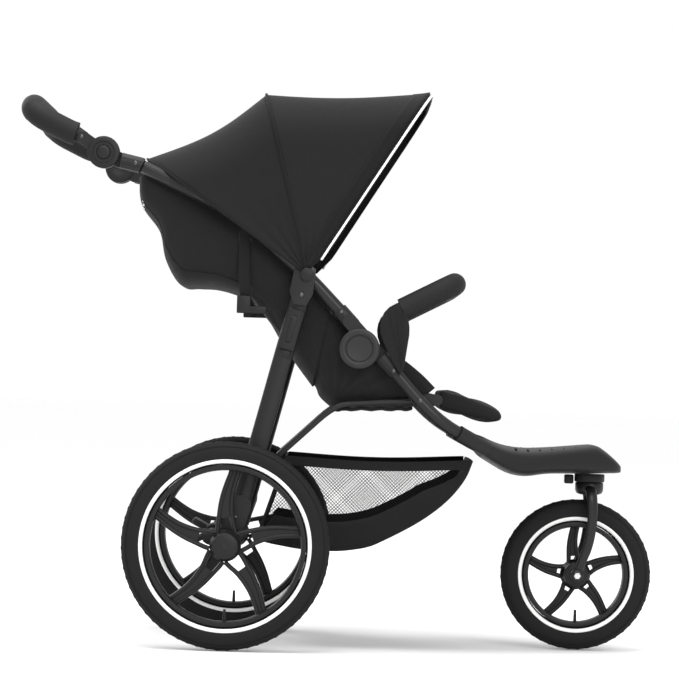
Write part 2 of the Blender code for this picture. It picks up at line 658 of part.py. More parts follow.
def make_hood(frame_axis):
    """Two bows on one pivot, the fabric between them, the fixed rear fabric and the brim."""
    axis = empty("hood_axis", (HOOD_AXIS[0], 0.0, HOOD_AXIS[1]))
    make_bow("hood_mid_bow", MID_BOW, 0, axis)
    make_bow("hood_front_bow", FRONT_BOW, 1, axis)
    clear = BOW_R + FABRIC / 2 + 0.0010
    rear = bow_outline(*REAR_EDGE)
    mid = bow_outline(*MID_BOW)
    front = bow_outline(*FRONT_BOW)
    make_panel("hood_rear_panel", shifted(rear, REAR_EDGE[0], -0.002), shifted(mid, MID_BOW[0], clear), 2,
               frame_axis)
    make_panel("hood_front_panel", shifted(mid, MID_BOW[0], -clear), shifted(front, FRONT_BOW[0], clear), 2,
               axis)
    brim = [Vector(p) for p in front[2:-2]]
    make_panel("hood_brim", shifted(brim, FRONT_BOW[0], -clear), shifted(brim, FRONT_BOW[0], -0.028), 1, axis)


# ---- front fork and bumper ----------------------------------------------------------------------------


def make_fork():
    """The swivelling fork: a crown, two bent legs, and the axle between their ends."""
    axle = (FRONT_AXLE_X, FRONT_TYRE_R)
    crown_bottom = FRONT_TYRE_R * 2 + 0.010
    crown = rod("fork", (SWIVEL_X, 0.0, (CROWN_TOP + crown_bottom) / 2), CROWN_R, CROWN_TOP - crown_bottom,
                BLACK_METAL, axis="Z", sides=24)
    pieces = []
    for sign, side in SIDES:
        path = [(SWIVEL_X, sign * 0.014, crown_bottom + 0.010),
                (SWIVEL_X + 0.003, sign * FORK_Y, crown_bottom - 0.002),
                (SWIVEL_X + 0.007, sign * FORK_Y, axle[1] + 0.115),
                (SWIVEL_X - 0.006, sign * FORK_Y, axle[1] + 0.055),
                (axle[0], sign * FORK_Y, axle[1])]
        pieces.append(tube(f"fork_leg_{side}", path, FORK_R, BLACK_METAL))
        nut_at = (axle[0], sign * (FORK_Y + 0.003), axle[1])
        pieces.append(rod(f"fork_nut_{side}", nut_at, 0.0125, 0.020, BLACK_METAL, sides=12))
    turning = empty("swivel_axis", (SWIVEL_X, 0.0, CROWN_TOP))
    hung(combine(crown, pieces), turning)
    length = 2 * (FORK_Y - FORK_R - GAP)
    hung(rod("front_axle", (axle[0], 0.0, axle[1]), AXLE_R, length, STEEL, sides=16), turning)
    rear, front, half = SWIVEL_X - 0.050, SWIVEL_X - 0.032, 0.011
    outline = [(rear, -half), (front, -half), (front, half), (rear, half)]
    lock = slab("swivel_lock", [outline], CROWN_TOP + 0.005, 0.009, BLACK_PLASTIC)
    hung(lock, empty("swivel_lock_axis", ((rear + front) / 2, 0.0, CROWN_TOP + 0.005)))


def make_bumper():
    """The bumper bar: a padded arm outside each lower tube, and a round padded bar across."""
    axis = empty("bumper_axis", (BUMPER_AXIS[0], 0.0, BUMPER_AXIS[1]))
    arm_from = FRAME_Y + SLEEVE_R + 0.0010
    outline = [(0.118, 0.5345), (0.096, 0.572), (0.079, 0.606), (0.0755, 0.634), (0.086, 0.660),
               (0.114, 0.6765), (0.1295, 0.6475), (0.134, 0.620), (0.130, 0.590), (0.124, 0.545)]
    for sign, side in SIDES:
        hung(plate(f"bumper_arm_{side}", [outline], sign * (arm_from + 0.004), 0.004, BLACK_PLASTIC), axis)
    corner = 0.075
    across = arm_from - 0.0090
    start = (0.1231, 0.6627)
    slope = atan2(BUMPER_FRONT[1] - start[1], BUMPER_FRONT[0] - start[0])
    reach = hypot(BUMPER_FRONT[0] - start[0], BUMPER_FRONT[1] - start[1])
    path = []
    for i in range(7):
        turn = pi / 2 * i / 6
        along = reach * sin(turn)
        path.append((start[0] + along * cos(slope), across - corner * (1 - cos(turn)),
                     start[1] + along * sin(slope)))
    path += [(x, -y, z) for x, y, z in reversed(path)]
    thick = [0.62] + [1.0] * (len(path) - 2) + [0.62]
    hung(tube("bumper_bar", path, BUMPER_R, BLACK_FOAM, radii=thick, resolution=3), axis)


def make_basket():
    """The basket: a sagging tub, open at the top."""
    outer = [(-0.098, 0.372), (-0.150, 0.214), (-0.080, 0.196), (0.000, 0.190), (0.065, 0.206),
             (0.155, 0.275), (0.258, 0.368)]
    wall = 0.004
    inner = [(-0.098 + wall, 0.400), (-0.150 + 1.4 * wall, 0.214 + wall), (-0.080, 0.196 + wall),
             (0.000, 0.190 + wall), (0.065 - 0.4 * wall, 0.206 + wall), (0.155 - wall, 0.275 + 0.6 * wall),
             (0.258 + 0.020, 0.400)]
    half = FRAME_Y - 0.050
    tub = plate("basket", [outer], 0.0, half, BLACK_FABRIC)
    hollow = plate("hollow", [inner], 0.0, half - wall, BLACK_FABRIC)
    return combine(tub, [hollow], "DIFFERENCE")


make_wheels()
make_rear_legs()
FRAME_AXIS = make_upper_frame()
make_handle()
make_front_frame()
make_seat()
make_seat_sides(FRAME_AXIS)
make_hood(FRAME_AXIS)
make_fork()
make_bumper()
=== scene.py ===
"""The looks of a black three-wheeled baby stroller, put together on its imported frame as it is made."""

import json
from math import atan2, cos, pi, radians, sin

import bmesh
import bpy
from mathutils import Matrix, Vector


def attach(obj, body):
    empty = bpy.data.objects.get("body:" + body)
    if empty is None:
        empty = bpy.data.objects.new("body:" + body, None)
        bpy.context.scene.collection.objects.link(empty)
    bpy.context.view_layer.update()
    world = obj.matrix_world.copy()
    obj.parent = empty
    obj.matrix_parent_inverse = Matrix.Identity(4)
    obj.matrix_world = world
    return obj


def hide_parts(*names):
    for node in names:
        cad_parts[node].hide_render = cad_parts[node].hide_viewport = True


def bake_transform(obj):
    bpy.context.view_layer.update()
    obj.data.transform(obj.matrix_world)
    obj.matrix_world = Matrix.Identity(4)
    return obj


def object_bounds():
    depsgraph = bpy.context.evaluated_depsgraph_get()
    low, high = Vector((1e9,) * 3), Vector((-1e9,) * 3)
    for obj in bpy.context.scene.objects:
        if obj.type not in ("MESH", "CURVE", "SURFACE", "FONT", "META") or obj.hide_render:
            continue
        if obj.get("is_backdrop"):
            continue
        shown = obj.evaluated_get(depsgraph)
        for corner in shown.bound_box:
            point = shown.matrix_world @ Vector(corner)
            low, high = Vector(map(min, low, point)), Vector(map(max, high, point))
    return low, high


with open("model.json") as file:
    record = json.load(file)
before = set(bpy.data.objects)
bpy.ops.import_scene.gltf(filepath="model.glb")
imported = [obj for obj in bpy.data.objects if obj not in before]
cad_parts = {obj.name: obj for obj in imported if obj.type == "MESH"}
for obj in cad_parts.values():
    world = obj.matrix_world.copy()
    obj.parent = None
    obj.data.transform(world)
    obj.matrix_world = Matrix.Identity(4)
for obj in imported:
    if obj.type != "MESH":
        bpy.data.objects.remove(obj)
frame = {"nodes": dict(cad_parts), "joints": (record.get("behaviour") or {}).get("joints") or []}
cad_low, cad_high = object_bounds()
scene = bpy.context.scene


# ---- camera, floor and light --------------------------------------------------------------------------
# A long lens, low down and a long way off to the stroller's right, very slightly rolled. The floor is
# a pale sheet under a white sky and three large soft lamps. Its colour is painted darker towards the middle,
# a painted shade that offsets the lamps' extra light near the stroller.

eye = bpy.data.cameras.new("camera")
eye.sensor_width = 36.0
eye.lens = 183.7
camera = bpy.data.objects.new("camera", eye)
scene.collection.objects.link(camera)
right = Vector((0.99955, 0.0, 0.03))
up = Vector((-0.03, 0.0, 0.99955))
tilt = radians(0.70)
look = Vector((0, cos(tilt), 0)) + up * sin(tilt)
above = up * cos(tilt) - Vector((0, sin(tilt), 0))
turn = Matrix((right, above, -look)).transposed().to_4x4()
camera.matrix_world = Matrix.Translation((0.002, -6.9, 0.5184)) @ turn
scene.camera = camera


def laid_floor():
    shape = bmesh.new()
    bmesh.ops.create_circle(shape, cap_ends=True, segments=96, radius=60.0)
    mesh = bpy.data.meshes.new("floor")
    shape.to_mesh(mesh)
    shape.free()
    floor = bpy.data.objects.new("floor", mesh)
    scene.collection.objects.link(floor)
    pale = bpy.data.materials.new("floor")
    pale.use_nodes = True
    tree = pale.node_tree
    shader = tree.nodes["Principled BSDF"]
    shader.inputs["Roughness"].default_value = 0.9
    near = tree.nodes.new("ShaderNodeMapping")
    near.inputs["Scale"].default_value = (0.22, 0.22, 0.22)
    # Painted shade: the floor's colour darkens from 0.99 far out to 0.74 at the middle, to offset the lamps'
    # extra light near the stroller.
    painted_shade_gradient = tree.nodes.new("ShaderNodeTexGradient")
    painted_shade_gradient.gradient_type = "SPHERICAL"
    tone = tree.nodes.new("ShaderNodeMix")
    tone.data_type = "RGBA"
    tone.inputs[6].default_value = (0.99, 0.99, 0.99, 1)
    tone.inputs[7].default_value = (0.74, 0.74, 0.74, 1)
    tree.links.new(tree.nodes.new("ShaderNodeTexCoord").outputs["Object"], near.inputs["Vector"])
    tree.links.new(near.outputs["Vector"], painted_shade_gradient.inputs["Vector"])
    tree.links.new(painted_shade_gradient.outputs["Fac"], tone.inputs[0])
    tree.links.new(tone.outputs[2], shader.inputs["Base Color"])
    mesh.materials.append(pale)
    floor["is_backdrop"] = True


def softbox(name, place, aim, size, power):
    lamp = bpy.data.lights.new(name, "AREA")
    lamp.shape = "RECTANGLE"
    lamp.size, lamp.size_y = size
    lamp.energy = power
    box = bpy.data.objects.new(name, lamp)
    scene.collection.objects.link(box)
    box.location = place
    box.rotation_euler = (Vector(aim) - Vector(place)).to_track_quat("-Z", "Y").to_euler()


laid_floor()
softbox("top_light", (-0.6, -0.8, 4.2), (0, 0, 0.4), (3.2, 3.2), 190)
softbox("front_light", (1.6, -4.6, 2.6), (0, 0, 0.5), (2.4, 1.6), 110)
softbox("back_light", (-2.8, 3.4, 2.4), (0, 0, 0.6), (2.0, 2.0), 60)
world = bpy.data.worlds.new("white_sky")
scene.world = world
world.use_nodes = True
world.node_tree.nodes["Background"].inputs["Color"].default_value = (1, 1, 1, 1)
world.node_tree.nodes["Background"].inputs["Strength"].default_value = 1.0
scene.view_settings.view_transform = "Standard"


# ---- side frames --------------------------------------------------------------------------------------
# Round aluminium tube, powder-coated a satin black, bent cold and riveted into black castings. The
# coating has a fine orange peel, and is rubbed a little lighter where it's handled.


class Number:
    """A number in a finish, so that its sums are written as arithmetic."""

    def __init__(self, finish, socket):
        self.finish = finish
        self.socket = socket

    def sum(self, operation, first, second):
        node = self.finish.node("ShaderNodeMath", {"operation": operation}, {0: first, 1: second})
        return Number(self.finish, node.outputs[0])

    def __add__(self, other):
        return self.sum("ADD", self, other)

    def __radd__(self, other):
        return self.sum("ADD", other, self)

    def __sub__(self, other):
        return self.sum("SUBTRACT", self, other)

    def __rsub__(self, other):
        return self.sum("SUBTRACT", other, self)

    def __mul__(self, other):
        return self.sum("MULTIPLY", self, other)

    def __rmul__(self, other):
        return self.sum("MULTIPLY", other, self)


class Finish:
    """A material with a name, a colour and a roughness, to which a finish adds its grain."""

    def __init__(self, name, colour, roughness, metallic=0.0, **fixed):
        self.material = bpy.data.materials.new(name)
        self.material.use_nodes = True
        self.tree = self.material.node_tree
        self.shader = self.tree.nodes["Principled BSDF"]
        self.colour = (*colour, 1.0)
        self.set("Base Color", self.colour)
        self.set("Roughness", roughness)
        self.set("Metallic", metallic)
        self.set("Specular IOR Level", 0.5 if metallic else 0.22)
        for socket, value in fixed.items():
            self.set(socket.replace("_", " ").title(), value)
        self.place = self.node("ShaderNodeTexCoord").outputs["Object"]

    def feed(self, socket, value):
        value = value.socket if isinstance(value, Number) else value
        if isinstance(value, bpy.types.NodeSocket):
            self.tree.links.new(value, socket)
        else:
            socket.default_value = value

    def set(self, socket, value):
        self.feed(self.shader.inputs[socket], value)

    def node(self, kind, settings=None, values=None):
        made = self.tree.nodes.new(kind)
        for name, value in (settings or {}).items():
            setattr(made, name, value)
        for name, value in (values or {}).items():
            self.feed(made.inputs[name], value)
        return made

    def noise(self, scale, detail=2.0):
        values = {"Vector": self.place, "Scale": scale, "Detail": detail}
        return Number(self, self.node("ShaderNodeTexNoise", None, values).outputs["Fac"])

    def wave(self, direction, scale):
        settings = {"bands_direction": direction}
        values = {"Vector": self.place, "Scale": scale}
        return Number(self, self.node("ShaderNodeTexWave", settings, values).outputs["Fac"])

    def tint(self, other, share):
        """Mixes the finish's colour towards another where share is high."""
        mixed = self.node("ShaderNodeMix", {"data_type": "RGBA"},
                          {0: share, 6: self.colour, 7: (*other, 1.0)})
        self.set("Base Color", mixed.outputs[2])

    def bump(self, height, distance, strength=1.0):
        values = {"Height": height, "Distance": distance, "Strength": strength}
        self.set("Normal", self.node("ShaderNodeBump", None, values).outputs["Normal"])
        return self.material


def powder_coat():
    coat = Finish("powder_coat", (0.006, 0.006, 0.0065), 0.36, 0.0, coat_weight=0.12, coat_roughness=0.25)
    cloud = coat.noise(14.0, 4.0)
    coat.tint((0.016, 0.016, 0.017), cloud * 0.35)
    coat.set("Roughness", 0.34 + cloud * 0.16)
    return coat.bump(coat.noise(900.0, 2.0), 0.0002, 0.35)


def moulding(name="moulding", grey=0.0075, roughness=0.48):
    """Black nylon or polypropylene, moulded with a fine spark grain."""
    grain = Finish(name, (grey, grey, grey * 1.06), roughness)
    cloud = grain.noise(22.0, 3.0)
    grain.tint((grey * 1.9, grey * 1.9, grey * 2.0), cloud * 0.4)
    grain.set("Roughness", roughness - 0.06 + cloud * 0.14)
    spark = grain.noise(1400.0, 1.0)
    return grain.bump(spark + grain.noise(60.0, 2.0) * 0.5, 0.00025, 0.5)


def bright_steel():
    plated = Finish("bright_steel", (0.62, 0.62, 0.63), 0.26, 1.0)
    rub = plated.noise(160.0, 4.0)
    plated.set("Roughness", 0.20 + rub * 0.18)
    return plated.bump(rub, 0.0001, 0.4)


def black_zinc():
    """The dark plating of the rivet heads."""
    dark = Finish("black_zinc", (0.085, 0.085, 0.088), 0.34, 1.0)
    dark.set("Roughness", 0.28 + dark.noise(160.0, 4.0) * 0.14)
    return dark.material


COAT = powder_coat()
MOULD = moulding()
STEEL = bright_steel()
RIVET = black_zinc()


def built(name, shape, finish, body, slot=None, replaces=(), smooth=True):
    """Ends a piece: normals out, smooth faces, its finish, and the body that it moves with."""
    bmesh.ops.recalc_face_normals(shape, faces=shape.faces)
    for face in shape.faces:
        face.smooth = smooth
    mesh = bpy.data.meshes.new(name)
    shape.to_mesh(mesh)
    shape.free()
    obj = bpy.data.objects.new(name, mesh)
    scene.collection.objects.link(obj)
    mesh.materials.append(finish)
    if body:
        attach(obj, body)
    if replaces:
        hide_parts(*replaces)
    return obj


def crisp(obj, angle=35):
    """Keeps the hard edges of a smooth piece hard."""
    obj.data.set_sharp_from_angle(angle=radians(angle))
    return obj


def eased(points, rounds=3):
    """Rounds the corners of a path by cutting them, and leaves its ends."""
    points = [Vector(p) for p in points]
    for _ in range(rounds):
        cut = [points[0]]
        for a, b in zip(points, points[1:]):
            cut += [a.lerp(b, 0.25), a.lerp(b, 0.75)]
        points = cut + [points[-1]]
    return points


def swept(shape, path, size, sides=20, flat=1.0, side=Vector((0, 1, 0))):
    """Sweeps a ring along a path. size is a radius, or one for each point. flat narrows the ring sideways.
    side is the ring's sideways direction at the path's start, and is carried along it."""
    path = [Vector(p) for p in path]
    sizes = size if isinstance(size, list) else [size] * len(path)
    ring = bmesh.ops.create_circle(shape, segments=sides, radius=1.0)["verts"]
    was = Matrix.Identity(4)
    first = ring
    for i, place in enumerate(path):
        ahead = path[min(i + 1, len(path) - 1)] - path[max(i - 1, 0)]
        forward = ahead.normalized()
        across = (side - forward * side.dot(forward)).normalized()
        side = across
        upward = forward.cross(across)
        columns = (across * sizes[i] * flat, upward * sizes[i], forward)
        now = Matrix(columns).transposed().to_4x4()
        now.translation = place
        if i:
            edges = list({e for v in ring for e in v.link_edges if all(w in ring for w in e.verts)})
            ring = [g for g in bmesh.ops.extrude_edge_only(shape, edges=edges)["geom"]
                    if isinstance(g, bmesh.types.BMVert)]
        bmesh.ops.transform(shape, matrix=now @ was.inverted(), verts=ring)
        was = now
    for end in (first, ring):
        bmesh.ops.contextual_create(shape, geom=list({e for v in end for e in v.link_edges
                                                      if all(w in end for w in e.verts)}))
    return shape


def studs(shape, places, sign, radius=0.0036):
    """Domed rivet heads that stand out sideways."""
    for x, y, z in places:
        head = bmesh.ops.create_uvsphere(shape, u_segments=14, v_segments=8, radius=radius)["verts"]
        bmesh.ops.scale(shape, vec=(1, 0.55, 1), verts=head)
        bmesh.ops.translate(shape, vec=(x, sign * y, z), verts=head)


SIDES = ((-1, "right"), (1, "left"))
TUBE_SIDE = 0.250
TUBE_SIZE = 0.012
UPPER_RUN = [(0.0100, 0.6439), (-0.0027, 0.6574), (-0.066, 0.722), (-0.126, 0.772), (-0.170, 0.810),
             (-0.220, 0.844),
             (-0.313, 0.888), (-0.389, 0.921)]
LOWER_RUN = [(0.0970, 0.5516), (0.1102, 0.5376), (0.157, 0.4855), (0.199, 0.4470)]
LOWER_END = [(0.245, 0.228, 0.4200), (0.305, 0.178, 0.3900)]

for sign, side in SIDES:
    tube = bmesh.new()
    swept(tube, eased([(x, sign * TUBE_SIDE, z) for x, z in UPPER_RUN], 2), TUBE_SIZE, 28)
    built(f"upper_side_tube_{side}", tube, COAT, "upper_frame", f"upper_tube_{side}", [f"upper_tube_{side}"])
    tube = bmesh.new()
    run = [(x, sign * TUBE_SIDE, z) for x, z in LOWER_RUN] + [(x, sign * y, z) for x, y, z in LOWER_END]
    swept(tube, eased(run, 2), TUBE_SIZE, 28)
    built(f"lower_side_tube_{side}", tube, COAT, "front_frame", f"lower_tube_{side}", [f"lower_tube_{side}"])
    heads = bmesh.new()
    studs(heads, [(-0.270, 0.2625, 0.868), (0.002, 0.2645, 0.6525)], sign)
    built(f"upper_rivets_{side}", heads, RIVET, "upper_frame", f"upper_tube_{side}")
    heads = bmesh.new()
    studs(heads, [(0.1055, 0.2645, 0.5425), (0.158, 0.2625, 0.487)], sign, 0.0042)
    built(f"lower_rivets_{side}", heads, RIVET, "front_frame", f"lower_tube_{side}")
for node in ("upper_fold_casting_right", "upper_fold_casting_left", "lower_fold_casting_right",
             "lower_fold_casting_left", "handle_housing_right", "handle_housing_left", "handle_arm_right",
             "handle_arm_left", "steerer_housing"):
    frame["nodes"][node].data.materials[0] = MOULD
for node in ("pivot_plate_right", "pivot_plate_left", "legrest_bar", "axle_bracket_right",
             "axle_bracket_left"):
    frame["nodes"][node].data.materials[0] = COAT
frame["nodes"]["front_axle"].data.materials[0] = STEEL


# ---- fold joints --------------------------------------------------------------------------------------
# A round cast housing on each side tube, closed by a moulded cap: a flat outer ring, a groove, and a
# shallow dished button in the middle that is pressed to fold the frame.


def turned(shape, profile, place, sign=1, steps=64):
    """Turns a line of (radius, outward) points about a sideways axis through a place."""
    before = set(shape.verts)
    line = [shape.verts.new((r, sign * out, 0)) for r, out in profile]
    edges = [shape.edges.new(pair) for pair in zip(line, line[1:])]
    bmesh.ops.spin(shape, geom=line + edges, cent=(0, 0, 0), axis=(0, 1, 0), angle=2 * pi, steps=steps,
                   use_merge=True)
    verts = [v for v in shape.verts if v not in before]
    bmesh.ops.translate(shape, vec=place, verts=verts)
    bmesh.ops.remove_doubles(shape, verts=verts, dist=0.00001)


PIVOT = {joint["name"]: Vector(joint["pos_m"]) for joint in frame["joints"] if "pos_m" in joint}
DISC_FACE = 0.2650
CAP = [(0.0385, -0.010), (0.0385, 0.0015), (0.0372, 0.0030), (0.0275, 0.0030), (0.0262, 0.0016),
       (0.0258, 0.0006),
       (0.0248, 0.0006), (0.0240, 0.0022), (0.0150, 0.0010), (0.0, 0.0004)]
for sign, side in SIDES:
    cap = bmesh.new()
    turned(cap, CAP, PIVOT["frame_fold"] + Vector((0, sign * DISC_FACE, 0)), sign, 72)
    crisp(built(f"fold_cap_{side}", cap, moulding(f"cap_{side}", 0.014, 0.42), "upper_frame",
                f"upper_fold_casting_{side}"), 50)


# ---- wheels -------------------------------------------------------------------------------------------
# Air tyres on one-piece moulded rims. Each rim has five swirling forked spokes and a valve, the rear rims a
# domed hub cap, and each tyre has a rolled sidewall, rows of moulded tread and a woven reflective ring.


def tyre_rubber():
    rubber = Finish("tyre_rubber", (0.0045, 0.0045, 0.0048), 0.78)
    dust = rubber.noise(30.0, 5.0)
    rubber.tint((0.012, 0.012, 0.0115), dust * 0.45)
    rubber.set("Roughness", 0.66 + dust * 0.25)
    return rubber.bump(rubber.noise(420.0, 3.0), 0.0003, 0.6)


def reflective_tape():
    tape = Finish("reflective_tape", (0.80, 0.80, 0.79), 0.42, 0.1)
    beads = tape.noise(900.0, 2.0)
    tape.tint((0.62, 0.62, 0.62), beads * 0.4)
    return tape.bump(beads, 0.0001, 0.4)


RUBBER = tyre_rubber()
TAPE = reflective_tape()
RIM = moulding("rim_moulding", 0.007, 0.40)


def rings(shape, profile, place, steps=96):
    """Turns a closed outline of (radius, outward) points about a sideways axis through a place."""
    before = set(shape.verts)
    line = [shape.verts.new((r, out, 0)) for r, out in profile]
    edges = [shape.edges.new((line[i - 1], line[i])) for i in range(len(line))]
    bmesh.ops.spin(shape, geom=line + edges, cent=(0, 0, 0), axis=(0, 1, 0), angle=2 * pi, steps=steps,
                   use_merge=True)
    bmesh.ops.translate(shape, vec=place, verts=[v for v in shape.verts if v not in before])


def mirrored_outline(half):
    """A closed outline from its half on one side, which starts and ends off the middle."""
    return half + [(r, -out) for r, out in reversed(half)]


def tread(shape, place, radius, half, count):
    """Moulded blocks round the tyre: a slanted pair at each shoulder and a short bar in the middle."""
    for k in range(count):
        turn = 2 * pi * k / count
        for out, drop, slant, size in ((0.0155, 0.0062, 0.5, (0.0040, 0.0085, 0.0026)),
                                       (-0.0155, 0.0062, -0.5, (0.0040, 0.0085, 0.0026)),
                                       (0.0055, 0.0010, -0.35, (0.0052, 0.0062, 0.0018)),
                                       (-0.0055, 0.0010, 0.35, (0.0052, 0.0062, 0.0018))):
            block = bmesh.ops.create_cube(shape, size=1.0)["verts"]
            lean = Matrix.Rotation(-0.75 if out > 0.01 else 0.75 if out < -0.01 else 0.0, 4, "X")
            spin = Matrix.Rotation(turn + (pi / count if abs(out) < 0.01 else 0), 4, "Y")
            move = Matrix.Translation((0, out * half / 0.0225, radius - drop - size[2] / 2))
            grow = Matrix.Diagonal((size[0], size[1], size[2], 1))
            twist = Matrix.Rotation(slant, 4, "Z")
            bmesh.ops.transform(shape, matrix=Matrix.Translation(place) @ spin @ move @ lean @ twist @ grow,
                                verts=block)


def tyre(name, place, radius, node, body, blocks):
    half = 0.0222
    wall = [(radius - 0.0455, 0.0120), (radius - 0.0440, 0.0160), (radius - 0.0400, 0.0190),
            (radius - 0.0330, 0.0214), (radius - 0.0240, half), (radius - 0.0150, 0.0214),
            (radius - 0.0080, 0.0180), (radius - 0.0035, 0.0125), (radius - 0.0014, 0.0060)]
    shape = bmesh.new()
    rings(shape, mirrored_outline(wall), place)
    for side in (1, -1):
        for rib in (0.0105, 0.0118):
            low, out = radius - rib, side * 0.0199
            rings(shape, [(low - 0.0003, out - side * 0.002), (low + 0.0003, out - side * 0.002),
                          (low + 0.0003, out + side * 0.0004), (low - 0.0003, out + side * 0.0004)], place)
    tread(shape, place, radius, half, blocks)
    crisp(built(f"{name}_air_tyre", shape, RUBBER, body, node, [node]), 40)
    band = bmesh.new()
    for side in (1, -1):
        inner, outer = radius - 0.0425, radius - 0.0352
        rings(band, [(inner, side * 0.0178), (inner, side * 0.0190), ((inner + outer) / 2, side * 0.0206),
                     (outer, side * 0.0216), (outer, side * 0.0196)], place)
    built(f"{name}_reflective_ring", band, TAPE, body, node)


def spoke_points(place, angle, rim_r, stations):
    """Places at (share of the rim's radius, degrees ahead of the spoke's own angle)."""
    path = []
    for share, ahead in stations:
        a = angle + radians(ahead)
        path.append((place[0] + rim_r * share * cos(a), place[1], place[2] + rim_r * share * sin(a)))
    return path


def rim(name, place, radius, hub_half, twist, node, body, caps):
    """The rim: flanges and barrel, five forked spokes with sunk webs, the hub and the valve."""
    bead = radius - 0.0462
    shape = bmesh.new()
    barrel = [(bead - 0.0100, 0.0120), (bead - 0.0080, 0.0165), (bead - 0.0030, 0.0178), (bead, 0.0168),
              (bead, 0.0120), (bead - 0.0050, 0.0090)]
    rings(shape, mirrored_outline(barrel), place)
    hub = [(0.0, hub_half), (0.0190, hub_half), (0.0240, hub_half - 0.003), (0.0250, 0.012), (0.0300, 0.007)]
    turned(shape, hub + [(r, -out) for r, out in reversed(hub)], place, 1, 48)
    depth = 0.0062
    for k in range(5):
        angle = twist + 2 * pi * k / 5
        left = spoke_points(place, angle, bead, [(0.20, 36), (0.28, 27), (0.36, 20.5), (0.50, 15.0),
                                                  (0.64, 10.5), (0.78, 6.5), (0.90, 3.6), (0.98, 2.6)])
        side = spoke_points(place, angle, bead, [(0.20, -30), (0.28, -14), (0.36, -5.0), (0.50, -0.5),
                                                  (0.64, 0.5), (0.78, -0.6), (0.90, -2.0), (0.98, -3.0)])
        for path in (left, side):
            swept(shape, eased(path, 2), 0.0046, 12, depth / 0.0046)
        web = []
        for i in range(2, 8):
            web.append([Vector(left[i]), Vector(side[i])])
        for y, turned_over in ((0.0032, False), (-0.0032, True)):
            rows = [[shape.verts.new(p + Vector((0, y, 0))) for p in pair] for pair in web]
            for a, b in zip(rows, rows[1:]):
                corners = [a[0], b[0], b[1], a[1]]
                shape.faces.new(corners[::-1] if turned_over else corners)
    stem = bmesh.ops.create_cone(shape, cap_ends=True, segments=14, radius1=0.0036, radius2=0.0026,
                                 depth=0.030)
    bmesh.ops.translate(shape, vec=Vector(place) + Vector((0.002, 0, -bead + 0.018)), verts=stem["verts"])
    crisp(built(f"{name}_spoked_rim", shape, RIM, body, node, [node]), 45)
    if caps:
        cap = bmesh.new()
        for side in (1, -1):
            turned(cap, [(0.0245, hub_half - 0.006), (0.0243, hub_half + 0.0004), (0.0228, hub_half + 0.0014),
                         (0.0120, hub_half + 0.0026), (0.0, hub_half + 0.0030)], place, side, 48)
        crisp(built(f"{name}_hub_cap", cap, MOULD, body, node), 50)


for sign, side in SIDES:
    wheel = PIVOT[f"rear_{side}_wheel_spin"]
    tyre(f"rear_{side}", wheel, wheel.z, f"rear_{side}_tyre", f"rear_{side}_wheel", 64)
    rim(f"rear_{side}", wheel, wheel.z, 0.0280, radians(83.7), f"rear_{side}_rim", f"rear_{side}_wheel", True)
wheel = PIVOT["front_wheel_spin"]
tyre("front", wheel, wheel.z, "front_tyre", "front_wheel", 48)
rim("front", wheel, wheel.z, 0.0335, radians(19.0), "front_rim", "front_wheel", False)


# ---- rear legs and cross tube -------------------------------------------------------------------------
# Flat-oval tubes that carry the axle. A moulded fork cover with a long thumb slot closes each leg's top
# under a pressed plate, and two rivets at the foot hold the axle bracket.

LEG_SIDE = 0.245
LEG_RUN = [(-0.0743, 0.6888), (-0.102, 0.586), (-0.138, 0.441), (-0.194, 0.222)]
for sign, side in SIDES:
    leg = bmesh.new()
    swept(leg, eased([(x, sign * LEG_SIDE, z) for x, z in LEG_RUN], 2), 0.0185, 28, 0.54)
    built(f"rear_leg_tube_{side}", leg, COAT, "rear_legs", f"rear_leg_{side}", [f"rear_leg_{side}"])
    cover = bmesh.new()
    swept(cover, eased([(-0.0838, sign * 0.2555, 0.655), (-0.0950, sign * 0.2560, 0.612),
                        (-0.1030, sign * 0.2555, 0.578)], 2), 0.0165, 24, 0.22)
    built(f"leg_cover_{side}", cover, MOULD, "rear_legs", f"rear_leg_{side}")
    slot = bmesh.new()
    swept(slot, [(-0.0870, sign * 0.2592, 0.643), (-0.0885, sign * 0.2597, 0.637),
                 (-0.0990, sign * 0.2597, 0.597),
                 (-0.1003, sign * 0.2592, 0.591)], [0.0035, 0.0062, 0.0062, 0.0035], 18, 0.14)
    built(f"leg_thumb_slot_{side}", slot, RIM, "rear_legs", f"rear_leg_{side}")
    cap = bmesh.new()
    swept(cap, eased([(-0.1030, sign * 0.2520, 0.576), (-0.1050, sign * 0.2530, 0.568),
                      (-0.1072, sign * 0.2500, 0.560)], 1), 0.0120, 20, 0.35)
    built(f"leg_end_cap_{side}", cap, MOULD, "rear_legs", f"rear_leg_{side}")
    plate = bmesh.new()
    corners = [(-0.086, 0.758), (-0.050, 0.733), (-0.0495, 0.722), (-0.054, 0.684), (-0.066, 0.662),
               (-0.090, 0.664),
               (-0.099, 0.690)]
    flat = plate.faces.new([plate.verts.new((x, sign * 0.2622, z)) for x, z in corners])
    wall = bmesh.ops.extrude_face_region(plate, geom=[flat])["geom"]
    outer = [g for g in wall if isinstance(g, bmesh.types.BMVert)]
    bmesh.ops.translate(plate, vec=(0, sign * 0.0040, 0), verts=outer)
    bmesh.ops.bevel(plate, geom=[e for e in plate.edges if not e.calc_length() < 0.0045], offset=0.0012,
                    segments=2,
                    profile=0.5, affect="EDGES", material=-1)
    crisp(built(f"leg_hinge_plate_{side}", plate, COAT, "upper_frame", f"leg_bracket_{side}",
                [f"leg_bracket_{side}"]), 30)
    heads = bmesh.new()
    studs(heads, [(-0.066, 0.2672, 0.7225), (-0.0755, 0.2665, 0.6830)], sign, 0.0046)
    built(f"leg_hinge_rivets_{side}", heads, RIVET, "upper_frame", f"upper_tube_{side}")
    heads = bmesh.new()
    studs(heads, [(-0.1890, 0.2598, 0.2540), (-0.1925, 0.2598, 0.2370)], sign, 0.0036)
    built(f"axle_rivets_{side}", heads, RIVET, "rear_legs", f"rear_leg_{side}")
bar = bmesh.new()
